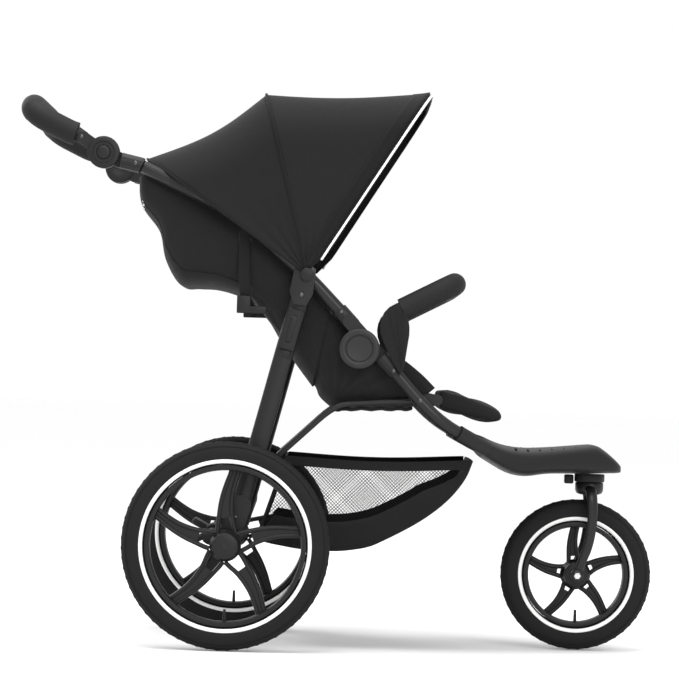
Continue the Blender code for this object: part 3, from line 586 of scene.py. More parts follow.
swept(bar, [(-0.240, -0.2545, 0.213), (-0.240, 0.2545, 0.213)], 0.010, 24, side=Vector((1, 0, 0)))
built("cross_tube", bar, COAT, "rear_legs", "rear_cross_tube", ["rear_cross_tube"])


# ---- brake --------------------------------------------------------------------------------------------
# A moulded rocker on the cross tube, with a foot lobe above to release and one below to lock.

rocker = bmesh.new()
collar = [(0.0170, 0.045), (0.0155, 0.0465), (0.0106, 0.0465), (0.0106, -0.0465), (0.0155, -0.0465),
          (0.0170, -0.045)]
rings(rocker, collar, PIVOT["brake_rock"], 40)
for angle in (150, 205):
    reach = [(PIVOT["brake_rock"].x + r * cos(radians(angle)), 0,
              PIVOT["brake_rock"].z + r * sin(radians(angle)))
             for r in (0.014, 0.026, 0.046)]
    shoe = bmesh.ops.create_cube(rocker, size=1.0)["verts"]
    middle = (Vector(reach[0]) + Vector(reach[2])) / 2
    place = (Matrix.Translation(middle) @ Matrix.Rotation(-radians(angle), 4, "Y")
             @ Matrix.Diagonal((0.034, 0.078, 0.012, 1)))
    bmesh.ops.transform(rocker, matrix=place, verts=shoe)
    bmesh.ops.bevel(rocker, geom=list({e for v in shoe for e in v.link_edges}), offset=0.0045, segments=3,
                    profile=0.5, affect="EDGES", material=-1)
crisp(built("brake_rocker", rocker, MOULD, "brake", "brake_pedal", ["brake_pedal"]), 45)


# ---- handle -------------------------------------------------------------------------------------------
# Two moulded arms on ratchet hinges with a push button each, under a grip of thick foam that is wrapped
# right round the bar. The foam is fullest along the sides, where the hands rest.


def foam(name="foam"):
    skin = Finish(name, (0.0065, 0.0065, 0.007), 0.72)
    cells = skin.noise(700.0, 3.0)
    soft = skin.noise(26.0, 3.0)
    skin.tint((0.014, 0.014, 0.015), soft * 0.5)
    skin.set("Roughness", 0.62 + soft * 0.2)
    return skin.bump(cells + soft * 1.5, 0.0005, 0.5)


FOAM = foam()
grip = bmesh.new()
half_run = [(-0.5170, 0.250, 0.9790), (-0.5300, 0.250, 0.9830), (-0.5550, 0.250, 0.9950),
            (-0.5840, 0.249, 1.0090),
            (-0.6020, 0.236, 1.0230), (-0.6060, 0.196, 1.0360), (-0.6060, 0.060, 1.0360)]
run = eased([(x, -y, z) for x, y, z in half_run] + [(x, y, z) for x, y, z in reversed(half_run)], 3)
thick = [0.0185 if i in (0, len(run) - 1) else 0.0235 for i in range(len(run))]
for i, place in enumerate(run):
    if abs(place.y) > 0.235 and 0 < i < len(run) - 1:
        thick[i] = 0.0228
swept(grip, run, thick, 32)
built("handle_grip_foam", grip, FOAM, "handle", "handle_grip", ["handle_grip"])
for sign, side in SIDES:
    hub = PIVOT["handle_tilt"] + Vector((0, sign * 0.2665, 0))
    ring = bmesh.new()
    turned(ring, [(0.0308, -0.012), (0.0308, 0.0010), (0.0296, 0.0024), (0.0215, 0.0024), (0.0205, 0.0008),
                  (0.0142, 0.0008), (0.0136, -0.0020)], hub, sign, 56)
    crisp(built(f"handle_hinge_ring_{side}", ring, MOULD, "handle", f"handle_arm_{side}"), 50)
    knob = bmesh.new()
    turned(knob, [(0.0129, -0.011), (0.0129, 0.0022), (0.0118, 0.0034), (0.0060, 0.0040), (0.0, 0.0040)], hub,
           sign,
           40)
    crisp(built(f"handle_push_button_{side}", knob, MOULD, f"handle_button_{side}", f"handle_button_{side}",
                [f"handle_button_{side}"]), 50)
    bush = bmesh.new()
    turned(bush, [(0.0300, 0.0), (0.0300, 0.0012), (0.0285, 0.0022), (0.0120, 0.0022), (0.0100, 0.0010),
                  (0.0, 0.0010)],
           PIVOT["handle_tilt"] + Vector((0, sign * 0.2343, 0)), -sign, 48)
    crisp(built(f"handle_inner_boss_{side}", bush, MOULD, "upper_frame", f"handle_housing_{side}"), 50)
    heads = bmesh.new()
    studs(heads, [(-0.4010, 0.2645, 0.9262)], sign, 0.0040)
    built(f"housing_rivet_{side}", heads, RIVET, "upper_frame", f"upper_tube_{side}")
    heads = bmesh.new()
    studs(heads, [(-0.5060, 0.2655, 0.9742)], sign, 0.0040)
    built(f"handle_rivet_{side}", heads, RIVET, "handle", f"handle_arm_{side}")
    clip = bmesh.new()
    swept(clip, eased([(-0.332, sign * TUBE_SIDE, 0.8972), (-0.313, sign * TUBE_SIDE, 0.8885),
                       (-0.284, sign * TUBE_SIDE, 0.8752)], 1), 0.0138, 24)
    crisp(built(f"tube_clip_{side}", clip, MOULD, "upper_frame", f"upper_tube_{side}"), 50)


# ---- hood ---------------------------------------------------------------------------------------------
# One water-shedding polyester canopy, sewn over two bent bows and hooked along the side tubes. The seam
# over the middle bow is welted, and the front rim has a reflective piping, a hem band and a short brim.


def canvas(name, grey, sheen=0.03):
    """Plain-woven polyester: crossed threads, a little cloud in the dye and soft creases."""
    cloth = Finish(name, (grey, grey, grey * 1.08), 0.86, sheen_weight=sheen, sheen_roughness=0.5)
    thread = 430.0
    weave = cloth.wave("X", thread) + cloth.wave("Z", thread) + cloth.wave("Y", thread)
    cloud = cloth.noise(9.0, 4.0)
    cloth.tint((grey * 2.1, grey * 2.1, grey * 2.2), cloud * 0.30 + weave * 0.06)
    cloth.set("Roughness", 0.80 + cloud * 0.14)
    crease = cloth.noise(24.0, 3.0)
    return cloth.bump(weave * 0.10 + crease * 1.2, 0.0012, 0.45)


def reach_along(angle, reach, side, corner, root, share):
    """A place on a bow: share 0 is its right foot, 0.5 the crown and 1 its left foot."""
    half = min(share, 1 - share) * 2
    straight, arc, top = reach - corner - root, corner * pi / 2, side - corner
    way = half * (straight + arc + top)
    if way < straight:
        r, y = root + way, side
    elif way < straight + arc:
        bend = (way - straight) / corner
        r, y = reach - corner * (1 - sin(bend)), side - corner * (1 - cos(bend))
    else:
        r, y = reach + 0.004 * (way - straight - arc) / top, side - corner - (way - straight - arc)
    y = y if share > 0.5 else -y
    return Vector((HOOD_PIVOT.x + r * cos(angle), y, HOOD_PIVOT.z + r * sin(angle)))


HOOD_PIVOT = PIVOT["hood_mid_fold"]
HOOD_SIDE = 0.2700
FRONT_BOW = (radians(58.0), 0.425)
MID_BOW = (radians(104.5), 0.360)
REAR_EDGE = (radians(145.6), 0.384)
CANOPY = canvas("canopy_cloth", 0.0052)
HEM = canvas("hem_cloth", 0.0030)


def sheet_of(shape, across, along, place):
    """A grid of cloth, each of whose points is put where place(u, v) says."""
    verts = bmesh.ops.create_grid(shape, x_segments=across, y_segments=along, size=0.5)["verts"]
    for v in verts:
        v.co = place(v.co.x + 0.5, v.co.y + 0.5)
    return verts


def thicken(obj, amount):
    """Gives a sheet its thickness, half to each side."""
    wall = obj.modifiers.new("cloth", "SOLIDIFY")
    wall.thickness = amount
    wall.offset = 0.0
    return obj


def hood_cloth(first, last, sag, lift=0.0):
    """The cloth between two bows: it sags a little, narrows in pleats, and may lift at its last edge."""
    def place(u, v):
        a = reach_along(*first, HOOD_SIDE, 0.095, 0.012, u)
        b = reach_along(*last, HOOD_SIDE, 0.095, 0.012, u)
        p = a.lerp(b, v)
        arm = Vector((p.x - HOOD_PIVOT.x, 0, p.z - HOOD_PIVOT.z))
        r = arm.length
        dip = sag * sin(pi * v) * min(1.0, r / 0.25)
        p -= arm.normalized() * dip
        p.y *= 1 - 0.35 * dip / HOOD_SIDE - 0.006 * sin(pi * v) * min(1.0, r / 0.2)
        p += arm.normalized() * lift * max(0.0, (v - 0.92) / 0.08) ** 2 * min(1.0, r / 0.25)
        pleat = 0.0016 * sin(v * pi * 7) * max(0.0, 1 - r / 0.22) * min(1.0, r / 0.04)
        p.y += pleat if p.y > 0 else -pleat
        return p
    return place


def hood_blend(obj):
    """Bakes the cloth's placement into its mesh."""
    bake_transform(obj)


cloth = bmesh.new()
sheet_of(cloth, 112, 26, hood_cloth(REAR_EDGE, MID_BOW, 0.015))
rear_hood = thicken(built("hood_rear_cloth", cloth, CANOPY, None, "hood_rear_panel", ["hood_rear_panel"]),
                    0.0012)
hood_blend(rear_hood)
cloth = bmesh.new()
sheet_of(cloth, 112, 30, hood_cloth(MID_BOW, FRONT_BOW, 0.007, 0.002))
front_hood = thicken(built("hood_front_cloth", cloth, CANOPY, None, "hood_front_panel", ["hood_front_panel"]),
                     0.0012)
hood_blend(front_hood)


def bow_path(bow, forward, proud, steps=90, root=0.012, ends=(0.0, 1.0)):
    """A line along a bow, moved ahead of it and proud of the cloth."""
    ahead = Vector((sin(bow[0]), 0, -cos(bow[0]))) * forward
    shares = [ends[0] + (ends[1] - ends[0]) * i / steps for i in range(steps + 1)]
    return [reach_along(bow[0], bow[1] + proud, HOOD_SIDE + proud, 0.095 + proud, root,
                        s) + ahead for s in shares]


welt = bmesh.new()
swept(welt, bow_path(MID_BOW, 0.0, 0.0008), 0.0030, 10, side=Vector((0.3, 0.2, 0.93)))
nib = bmesh.ops.create_cone(welt, cap_ends=True, segments=8, radius1=0.0028, radius2=0.0010,
                            depth=0.012)["verts"]
bmesh.ops.transform(welt, matrix=Matrix.Translation((-0.1585, 0.0, 1.0835)) @ Matrix.Rotation(-0.25, 4, "Y"),
                    verts=nib)
built("hood_mid_welt", welt, HEM, "hood_mid", "hood_mid_bow", ["hood_mid_bow"])
piping = bmesh.new()
swept(piping, bow_path(FRONT_BOW, 0.0070, 0.0014, ends=(0.02, 0.98)), 0.0024, 8,
      side=Vector((0.3, 0.2, 0.93)))
built("hood_reflective_piping", piping, TAPE, "hood_front", "hood_front_bow", ["hood_front_bow"])
hem = bmesh.new()


def hem_place(u, v):
    bare = hood_cloth(MID_BOW, FRONT_BOW, 0.007, 0.002)
    far = (bare(u, 1.0) - bare(u, 0.0)).length
    p = bare(u, 1.0 - v * min(1.0, 0.030 / max(0.001, far)))
    arm = Vector((p.x - HOOD_PIVOT.x, 0, p.z - HOOD_PIVOT.z)).normalized()
    shift = min(1.0, max(0.0, (0.270 - abs(p.y)) / 0.030))
    return p + arm * 0.0014 * shift + Vector((0, 0.0014 * (1 - shift) * (1 if p.y > 0 else -1), 0))


sheet_of(hem, 112, 4, hem_place)
thicken(built("hood_hem_band", hem, HEM, "hood_front", "hood_brim"), 0.0008)
brim = bmesh.new()


def brim_place(u, v):
    share = 0.012 + 0.976 * u
    p = reach_along(*FRONT_BOW, HOOD_SIDE, 0.095, 0.012, share)
    width = (0.0080 + 0.002 * (1 - sin(pi * u)) ** 2) * min(1.0, sin(pi * u) * 9.0)
    ahead = Vector((sin(FRONT_BOW[0]), 0, -cos(FRONT_BOW[0])))
    arm = Vector((cos(FRONT_BOW[0]), 0, sin(FRONT_BOW[0])))
    p += ahead * width * v - arm * 0.004 * v * v
    return p


sheet_of(brim, 96, 5, brim_place)
thicken(built("hood_brim_cloth", brim, HEM, "hood_front", "hood_brim", ["hood_brim"]), 0.0026)
edge = bmesh.new()
swept(edge, [brim_place(i / 90, 1.0) for i in range(91)], 0.0024, 10, side=Vector((0.3, 0.2, 0.93)))
built("hood_brim_edge", edge, HEM, "hood_front", "hood_brim")
binding = bmesh.new()
swept(binding, bow_path(REAR_EDGE, 0.0, 0.0006), 0.0024, 10, side=Vector((0.3, 0.2, 0.93)))
built("hood_rear_binding", binding, HEM, "upper_frame", "hood_rear_panel")
for sign, side in SIDES:
    boss = bmesh.new()
    turned(boss, [(0.0125, -0.004), (0.0125, 0.0012), (0.0110, 0.0022), (0.0, 0.0026)],
           HOOD_PIVOT + Vector((0, sign * 0.2724, 0)), sign, 36)
    crisp(built(f"hood_pivot_boss_{side}", boss, MOULD, "hood_mid", "hood_mid_bow"), 50)


# ---- seat ---------------------------------------------------------------------------------------------
# A hanging bucket of the same polyester, quilted over foam. It's slung between the side tubes, runs down
# behind the reclining back to a pocket, and is gathered by an elastic edge under the thighs.


def padded_cloth(name="seat_cloth", grey=0.0060):
    cloth = Finish(name, (grey, grey, grey * 1.05), 0.88, sheen_weight=0.03, sheen_roughness=0.5)
    thread = 380.0
    weave = cloth.wave("X", thread) + cloth.wave("Z", thread) + cloth.wave("Y", thread)
    cloud = cloth.noise(11.0, 4.0)
    cloth.tint((grey * 2.0, grey * 2.0, grey * 2.1), cloud * 0.35 + weave * 0.07)
    cloth.set("Roughness", 0.80 + cloud * 0.14)
    crease = cloth.noise(17.0, 3.0)
    return cloth.bump(weave * 0.10 + crease * 1.6, 0.0020, 0.55)


SEAT_CLOTH = padded_cloth()
LINING = padded_cloth("lining_cloth", 0.0090)
WEBBING = canvas("webbing", 0.0050)
HIP = Vector((-0.005, 0.0, 0.475))
UPPER_STATIONS = [((-0.383, 0.908), (-0.397, 0.900)), ((-0.370, 0.901), (-0.392, 0.850)),
                  ((-0.345, 0.889), (-0.356, 0.800)), ((-0.315, 0.875), (-0.343, 0.745)),
                  ((-0.285, 0.862), (-0.316, 0.701)), ((-0.255, 0.848), (-0.285, 0.698)),
                  ((-0.225, 0.833), (-0.250, 0.697)), ((-0.195, 0.815), (-0.215, 0.689)),
                  ((-0.165, 0.792), (-0.180, 0.675)), ((-0.130, 0.762), (-0.140, 0.635)),
                  ((-0.100, 0.735), (-0.115, 0.596)), ((-0.060, 0.695), (-0.0865, 0.555)),
                  ((-0.020, 0.655), (-0.050, 0.508))]
LOWER_STATIONS = [((-0.110, 0.740), (-0.118, 0.608)), ((-0.060, 0.691), (-0.0820, 0.558)),
                  ((-0.020, 0.652), (-0.046, 0.511)), ((0.010, 0.628), (-0.036, 0.490)),
                  ((0.040, 0.600), (-0.019, 0.474)), ((0.075, 0.585), (-0.010, 0.470)),
                  ((0.105, 0.575), (0.020, 0.468)), ((0.128, 0.562), (0.070, 0.468)),
                  ((0.160, 0.537), (0.110, 0.470)), ((0.186, 0.512), (0.140, 0.471))]


def bucket(stations, rim, floor, folds):
    """Cloth hung in a U between the side tubes. u runs from side to side and v along the stations."""
    tops = [Vector((t[0], 0, t[1])) for t, _ in stations]
    lows = [Vector((c[0], 0, c[1])) for _, c in stations]

    def between(line, v):
        at = v * (len(line) - 1)
        i = min(int(at), len(line) - 2)
        t = at - i
        before, after = line[max(i - 1, 0)], line[min(i + 2, len(line) - 1)]
        a, b = line[i], line[i + 1]
        return 0.5 * (2 * a + (b - before) * t + (2 * before - 5 * a + 4 * b - after) * t ** 2
                      + (3 * a - before - 3 * b + after) * t ** 3)

    def place(u, v):
        top, low = between(tops, v), between(lows, v)
        a = pi / 2 * (1 - abs(2 * u - 1))
        down, wide = sin(a) ** (1 / 3), max(0.0, cos(a)) ** (1 / 3)
        y = wide * (floor + (rim - floor) * (1 - down) ** 0.7)
        p = top.lerp(low, down)
        ray = atan2(p.z - HIP.z, p.x - HIP.x)
        out = (p - HIP).length
        ripple = folds * sin(ray * 17) * sin(pi * min(1.0, down * 1.1)) * min(1.0, wide * 1.5)
        ripple *= max(0.0, 1 - out / 0.40) * min(1.0, out / 0.05)
        return Vector((p.x, (y + ripple) * (1 if u > 0.5 else -1), p.z))
    return place


shell = bmesh.new()
sheet_of(shell, 150, 84, bucket(UPPER_STATIONS, 0.2345, 0.2120, 0.0040))
upper_shell = thicken(built("seat_shell_back", shell, SEAT_CLOTH, None, "rear_pocket", ["rear_pocket"]),
                      0.0028)


def lean_back(obj):
    """Bakes a piece's placement into its mesh."""
    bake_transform(obj)


lean_back(upper_shell)
shell = bmesh.new()
sheet_of(shell, 150, 66, bucket(LOWER_STATIONS, 0.2325, 0.2085, 0.0030))
lower_shell = thicken(built("seat_shell_side", shell, SEAT_CLOTH, None, "seat_side_right",
                            ["seat_side_right", "seat_side_left"]), 0.0028)
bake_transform(lower_shell)
piping = bmesh.new()
for sign, side in SIDES:
    hang = [Vector((t[0], sign * 0.2350, t[1])) for t, _ in UPPER_STATIONS]
    swept(piping, eased(hang, 2), 0.0024, 8)
built("seat_hanging_piping", piping, WEBBING, "upper_frame", "rear_pocket")
contour = bucket(UPPER_STATIONS, 0.2345, 0.2120, 0.0)
seam = bmesh.new()
for sign, side in SIDES:
    share = 0.5 - sign * 0.30
    for v0, v1, lift in ((0.20, 0.66, 0.0030), (0.10, 0.20, 0.0030)):
        line = []
        for i in range(25):
            p = contour(share, v0 + (v1 - v0) * i / 24)
            line.append(p + Vector((0, lift if p.y > 0 else -lift, 0)))
        swept(seam, line, 0.0017, 8)
lean_back(built("pocket_piping", seam, WEBBING, None, "rear_pocket"))
strap = bmesh.new()
for sign, side in SIDES:
    line = [(-0.1880, sign * 0.2345, 0.8080), (-0.1885, sign * 0.2345, 0.7650),
            (-0.1880, sign * 0.2335, 0.7200),
            (-0.1860, sign * 0.2300, 0.6900), (-0.1820, sign * 0.2240, 0.6700),
            (-0.1760, sign * 0.2180, 0.6600)]
    swept(strap, eased(line, 2), 0.0105, 12, 0.12)
lean_back(built("recline_webbing", strap, WEBBING, None, "rear_pocket"))
buckle = bmesh.new()
for sign, side in SIDES:
    for x, z, size in ((-0.1870, 0.6620, (0.026, 0.006, 0.034)), (-0.1620, 0.6520, (0.038, 0.005, 0.014)),
                       (-0.1870, 0.7920, (0.026, 0.005, 0.018))):
        block = bmesh.ops.create_cube(buckle, size=1.0)["verts"]
        bmesh.ops.transform(buckle, matrix=Matrix.Translation((x, sign * 0.2320, z)) @ Matrix.Diagonal((*size,
                                                                                                        1)),
                            verts=block)
        bmesh.ops.bevel(buckle, geom=list({e for v in block for e in v.link_edges}), offset=0.0018,
                        segments=2,
                        profile=0.5, affect="EDGES", material=-1)
lean_back(crisp(built("webbing_buckles", buckle, MOULD, None, "rear_pocket"), 45))
zip_pull = bmesh.new()
zip_teeth = bmesh.new()
for sign, side in SIDES:
    line = [contour(0.5 - sign * 0.33, 0.075 + 0.11 * i / 16) + Vector((0, sign * 0.0032,
                                                                        0)) for i in range(17)]
    swept(zip_teeth, line, 0.0022, 8)
    for k, size in ((0, 0.0042), (1, 0.0030), (2, 0.0030)):
        knob = bmesh.ops.create_uvsphere(zip_pull, u_segments=12, v_segments=8, radius=size)["verts"]
        bmesh.ops.translate(zip_pull, vec=line[2] + Vector((0, sign * 0.004, -0.008 * k)), verts=knob)
lean_back(built("pocket_zip", zip_teeth, MOULD, None, "rear_pocket"))
lean_back(built("zip_pull", zip_pull, STEEL, None, "front_axle"))
binding = bmesh.new()
edge_line = [(-0.0120, 0.4680), (-0.0050, 0.4640), (0.0300, 0.4670), (0.0700, 0.4680), (0.1100, 0.4690),
             (0.1420, 0.4700)]
for sign, side in SIDES:
    line = eased([(x, sign * 0.2140, z) for x, z in edge_line], 2)
    line = [p + Vector((0, sign * 0.0012 * sin(i * 2.1), 0.0012 * cos(i * 1.7))) for i, p in enumerate(line)]
    swept(binding, line, 0.0040, 10, 0.7)
built("seat_elastic_binding", binding, WEBBING, "front_frame", "seat_side_right")
for sign, side in SIDES:
    heads = bmesh.new()
    studs(heads, [(-0.330, 0.2625, 0.8955), (-0.150, 0.2625, 0.7925)], sign, 0.0042)
    built(f"seat_snaps_{side}", heads, MOULD, "upper_frame", f"upper_tube_{side}")


# ---- seat pads ----------------------------------------------------------------------------------------
# The back, seat and leg rest are foam pads in sewn covers. Each is a rounded block blown up by its
# filling and held down along its seams; what the filling may move is capped, so that it stays in place.


def final_mesh(obj):
    graph = bpy.context.evaluated_depsgraph_get()
    mesh = bpy.data.meshes.new_from_object(obj.evaluated_get(graph))
    obj.modifiers.clear()
    obj.data = mesh
    return mesh


def pad(name, node, body, outline, half, seams, cap, voxel=0.005, finish=None):
    """A pad from its side outline, its half width and its seams, which are tests of a place."""
    shape = bmesh.new()
    flat = shape.faces.new([shape.verts.new((x, -half, z)) for x, z in outline])
    wall = bmesh.ops.extrude_face_region(shape, geom=[flat])["geom"]
    bmesh.ops.translate(shape, vec=(0, 2 * half, 0),
                        verts=[g for g in wall if isinstance(g, bmesh.types.BMVert)])
    bmesh.ops.bevel(shape, geom=list(shape.edges), offset=0.0075, segments=3, profile=0.5, affect="EDGES",
                    material=-1)
    obj = built(name, shape, finish or LINING, None)
    grid = obj.modifiers.new("grid", "REMESH")
    grid.mode = "VOXEL"
    grid.voxel_size = voxel
    final_mesh(obj)
    rest = [v.co.copy() for v in obj.data.vertices]
    sewn = [v.index for v in obj.data.vertices if any(seam(v.co) for seam in seams)]
    held = obj.vertex_groups.new(name="seams")
    held.add(sewn, 1.0, "REPLACE")
    cloth = obj.modifiers.new("filling", "CLOTH")
    cloth.settings.vertex_group_mass = "seams"
    cloth.settings.use_pressure = True
    cloth.settings.uniform_pressure_force = 4.0
    cloth.settings.effector_weights.gravity = 0.0
    cloth.point_cache.frame_start = 1
    cloth.point_cache.frame_end = 20
    for moment in range(1, 21):
        scene.frame_set(moment)
    final_mesh(obj)
    scene.frame_set(1)
    for v, was in zip(obj.data.vertices, rest):
        moved = v.co - was
        v.co = was + moved * min(1.0, cap / max(moved.length, 0.000001))
    for face in obj.data.polygons:
        face.use_smooth = True
    finer = obj.modifiers.new("smooth", "SUBSURF")
    finer.levels = 1
    finer.render_levels = 1
    final_mesh(obj)
    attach(obj, body)
    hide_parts(node)
    return obj


BACK_FOOT = Vector((-0.045, 0, 0.522))
BACK_UP = Vector((cos(radians(129.8)), 0, sin(radians(129.8))))
BACK_OUT = Vector((BACK_UP.z, 0, -BACK_UP.x))


def back_place(along, out):
    p = BACK_FOOT + BACK_UP * along + BACK_OUT * out
    return p.x, p.z


pad("backrest_pad", "backrest", "backrest",
    [back_place(0.002, 0.0005), back_place(0.002, 0.0215), back_place(0.463, 0.0215),
     back_place(0.463, 0.0005)],
    0.2015, [lambda p: abs(abs(p.y) - 0.105) < 0.003,
             lambda p: abs((p - BACK_FOOT).dot(BACK_UP) - 0.155) < 0.003,
             lambda p: abs((p - BACK_FOOT).dot(BACK_UP) - 0.310) < 0.003, lambda p: abs(p.y) > 0.1985], 0.006,
    0.006)
pad("seat_pad", "seat_cushion", "seat", [(0.0015, 0.4915), (0.1500, 0.4970), (0.1510, 0.5145),
                                         (0.0070, 0.5145)],
    0.2015, [lambda p: abs(abs(p.y) - 0.105) < 0.003, lambda p: abs(p.x - 0.078) < 0.003,
             lambda p: abs(p.y) > 0.1985], 0.006, 0.005)
REST_AHEAD = (Vector((0.322, 0, 0.461)) - Vector((0.190, 0, 0.489))).normalized()
REST_UP = Vector((-REST_AHEAD.z, 0, REST_AHEAD.x))


def rest_place(along, out):
    p = Vector((0.190, 0, 0.489)) + REST_AHEAD * along + REST_UP * out
    return p.x, p.z


pad("leg_rest_pad", "leg_rest", "leg_rest",
    [rest_place(0.0090, -0.0150), rest_place(0.1180, -0.0170), rest_place(0.1320, -0.0110),
     rest_place(0.1350, -0.0010), rest_place(0.1250, 0.0100), rest_place(0.0600, 0.0190),
     rest_place(0.0020, 0.0215)],
    0.1690, [lambda p: abs((p - Vector((0.190, 0, 0.489))).dot(REST_AHEAD) - 0.062) < 0.003,
             lambda p: abs(p.y) > 0.1660], 0.005, 0.005, SEAT_CLOTH)


# ---- seat rails ---------------------------------------------------------------------------------------
# A bent steel rod at each side carries the seat and reaches down to the rear leg, with one rod across.

for sign, side in SIDES:
    rail = bmesh.new()
    swept(rail, eased([(0.158, sign * 0.222, 0.487), (0.060, sign * 0.222, 0.480),
                       (0.009, sign * 0.222, 0.476),
                       (-0.020, sign * 0.222, 0.460), (-0.060, sign * 0.222, 0.422),
                       (-0.112, sign * 0.222, 0.373)], 2), 0.006, 16)
    built(f"seat_rail_rod_{side}", rail, COAT, "seat", f"seat_rail_{side}", [f"seat_rail_{side}"])
rod = bmesh.new()
swept(rod, [(0.009, -0.2157, 0.476), (0.009, 0.2157, 0.476)], 0.005, 16, side=Vector((1, 0, 0)))
built("seat_cross_rod", rod, COAT, "seat", "seat_rear_rod", ["seat_rear_rod"])


# ---- bumper -------------------------------------------------------------------------------------------
# A detachable bar in front of the child: thick foam in a smooth sleeve, on an arm at each side that is
# wrapped in stitched cloth.

bar = bmesh.new()
half_bar = [(0.1180, 0.2535, 0.6600), (0.1231, 0.2535, 0.6627), (0.1600, 0.2535, 0.6822),
            (0.2010, 0.2500, 0.7037),
            (0.2160, 0.2360, 0.7116), (0.2195, 0.2080, 0.7135), (0.2195, 0.0700, 0.7135)]
run = eased([(x, -y, z) for x, y, z in half_bar] + [(x, y, z) for x, y, z in reversed(half_bar)], 2)
swept(bar, run, [0.0150 if i in (0, len(run) - 1) else 0.0218 for i in range(len(run))], 32)
built("bumper_foam", bar, FOAM, "bumper", "bumper_bar", ["bumper_bar"])
ARM = [(0.118, 0.5345), (0.096, 0.572), (0.079, 0.606), (0.0755, 0.634), (0.086, 0.660), (0.114, 0.6765),
       (0.1295, 0.6475), (0.134, 0.620), (0.130, 0.590), (0.124, 0.545)]
for sign, side in SIDES:
    sleeve = bmesh.new()
    line = eased([(x, sign * 0.2655, z) for x, z in ARM + ARM[:1]], 1)[1:]
    flat = sleeve.faces.new([sleeve.verts.new(p) for p in line])
    wall = bmesh.ops.extrude_face_region(sleeve, geom=[flat])["geom"]
    bmesh.ops.translate(sleeve, vec=(0, sign * 0.0080, 0),
                        verts=[g for g in wall if isinstance(g, bmesh.types.BMVert)])
    bmesh.ops.bevel(sleeve, geom=[e for e in sleeve.edges if len(e.link_faces) == 2 and any(
        len(f.verts) > 6 for f in e.link_faces)], offset=0.0028, segments=3, profile=0.5, affect="EDGES",
                    material=-1)
    crisp(built(f"bumper_sleeve_{side}", sleeve, SEAT_CLOTH, "bumper", f"bumper_arm_{side}",
                [f"bumper_arm_{side}"]), 50)
    seams = bmesh.new()
    for top in ((0.0900, 0.6580), (0.1040, 0.6640), (0.1180, 0.6600)):
        line = [(0.1195, sign * 0.2737, 0.5450), ((0.1140 + top[0]) / 2 + 0.004, sign * 0.2737, 0.6000),
                (top[0], sign * 0.2737, top[1])]
        swept(seams, eased(line, 2), 0.0008, 6)
    built(f"bumper_seams_{side}", seams, WEBBING, "bumper", f"bumper_arm_{side}")
    collar = bmesh.new()
    swept(collar, [(0.1130, sign * 0.2545, 0.6572), (0.1200, sign * 0.2545, 0.6609),
                   (0.1310, sign * 0.2545, 0.6667)],
          [0.0150, 0.0172, 0.0205], 28)
    crisp(built(f"bumper_collar_{side}", collar, MOULD, "bumper", f"bumper_arm_{side}"), 50)


# ---- footplate, steerer and fork ----------------------------------------------------------------------
# One moulded footplate joins the side tubes and narrows to the steerer. Under it turns a fork whose
# curved legs thin towards the axle, with a locking catch behind the crown.


def lofted(shape, stations, sides=40, power=4.0, rounds=2):
    """Joins rounded oblongs along X. Each station is (x, half width, low, high)."""
    rows = eased([(x, w, 0) for x, w, _, _ in stations], rounds)
    heights = eased([(x, low, high) for x, _, low, high in stations], rounds)
    ring = bmesh.ops.create_circle(shape, segments=sides, radius=1.0)["verts"]
    angles = [2 * pi * i / sides for i in range(sides)]
    first = ring
    for i, (row, height) in enumerate(zip(rows, heights)):
        if i:
            edges = list({e for v in ring for e in v.link_edges if all(w in ring for w in e.verts)})
            made = [g for g in bmesh.ops.extrude_edge_only(shape, edges=edges)["geom"]
                    if isinstance(g, bmesh.types.BMVert)]
            ring = [next(e.other_vert(v) for e in v.link_edges if e.other_vert(v) in made) for v in ring]
        middle, reach = (height.y + height.z) / 2, (height.z - height.y) / 2
        for v, a in zip(ring, angles):
            wide = abs(cos(a)) ** (2 / power) * (1 if cos(a) > 0 else -1)
            tall = abs(sin(a)) ** (2 / power) * (1 if sin(a) > 0 else -1)
            v.co = (row.x, row.y * wide, middle + reach * tall)
    for end in (first, ring):
        bmesh.ops.contextual_create(shape, geom=list({e for v in end for e in v.link_edges
                                                      if all(w in end for w in e.verts)}))


plate = bmesh.new()
lofted(plate, [(0.2770, 0.2020, 0.3900, 0.4180), (0.2800, 0.2030, 0.3800, 0.4225),
               (0.3050, 0.1980, 0.3650, 0.4110),
               (0.3350, 0.1880, 0.3480, 0.4010), (0.3700, 0.1720, 0.3420, 0.3970),
               (0.4100, 0.1540, 0.3495, 0.3990),
               (0.4500, 0.1310, 0.3505, 0.4030), (0.4850, 0.1120, 0.3510, 0.4070),
               (0.5130, 0.0970, 0.3520, 0.4095),
               (0.5350, 0.0830, 0.3528, 0.3950), (0.5560, 0.0670, 0.3536, 0.3770),
               (0.5630, 0.0480, 0.3550, 0.3690)])
crisp(built("footplate_moulding", plate, moulding("footplate_moulding", 0.0055, 0.50), "front_frame",
            "footplate",
            ["footplate"]), 40)
ribs = bmesh.new()
for k, rise in enumerate((0.3958, 0.3940, 0.3944, 0.3960, 0.3982, 0.4008)):
    x = 0.3500 + k * 0.0240
    reach = 0.150 - k * 0.0125
    swept(ribs, [(x, -reach, rise), (x, reach, rise)], 0.0032, 10, 0.8, Vector((1, 0, 0)))
built("footplate_ribs", ribs, RUBBER, "front_frame", "footplate")
for sign, side in SIDES:
    socket = bmesh.new()
    swept(socket, eased([(0.2330, sign * 0.2340, 0.4270), (0.2460, sign * 0.2280, 0.4195),
                         (0.2900, sign * 0.1905, 0.3970)], 2), 0.0152, 28)
    crisp(built(f"footplate_socket_{side}", socket, MOULD, "front_frame", "footplate"), 50)
housing = bmesh.new()
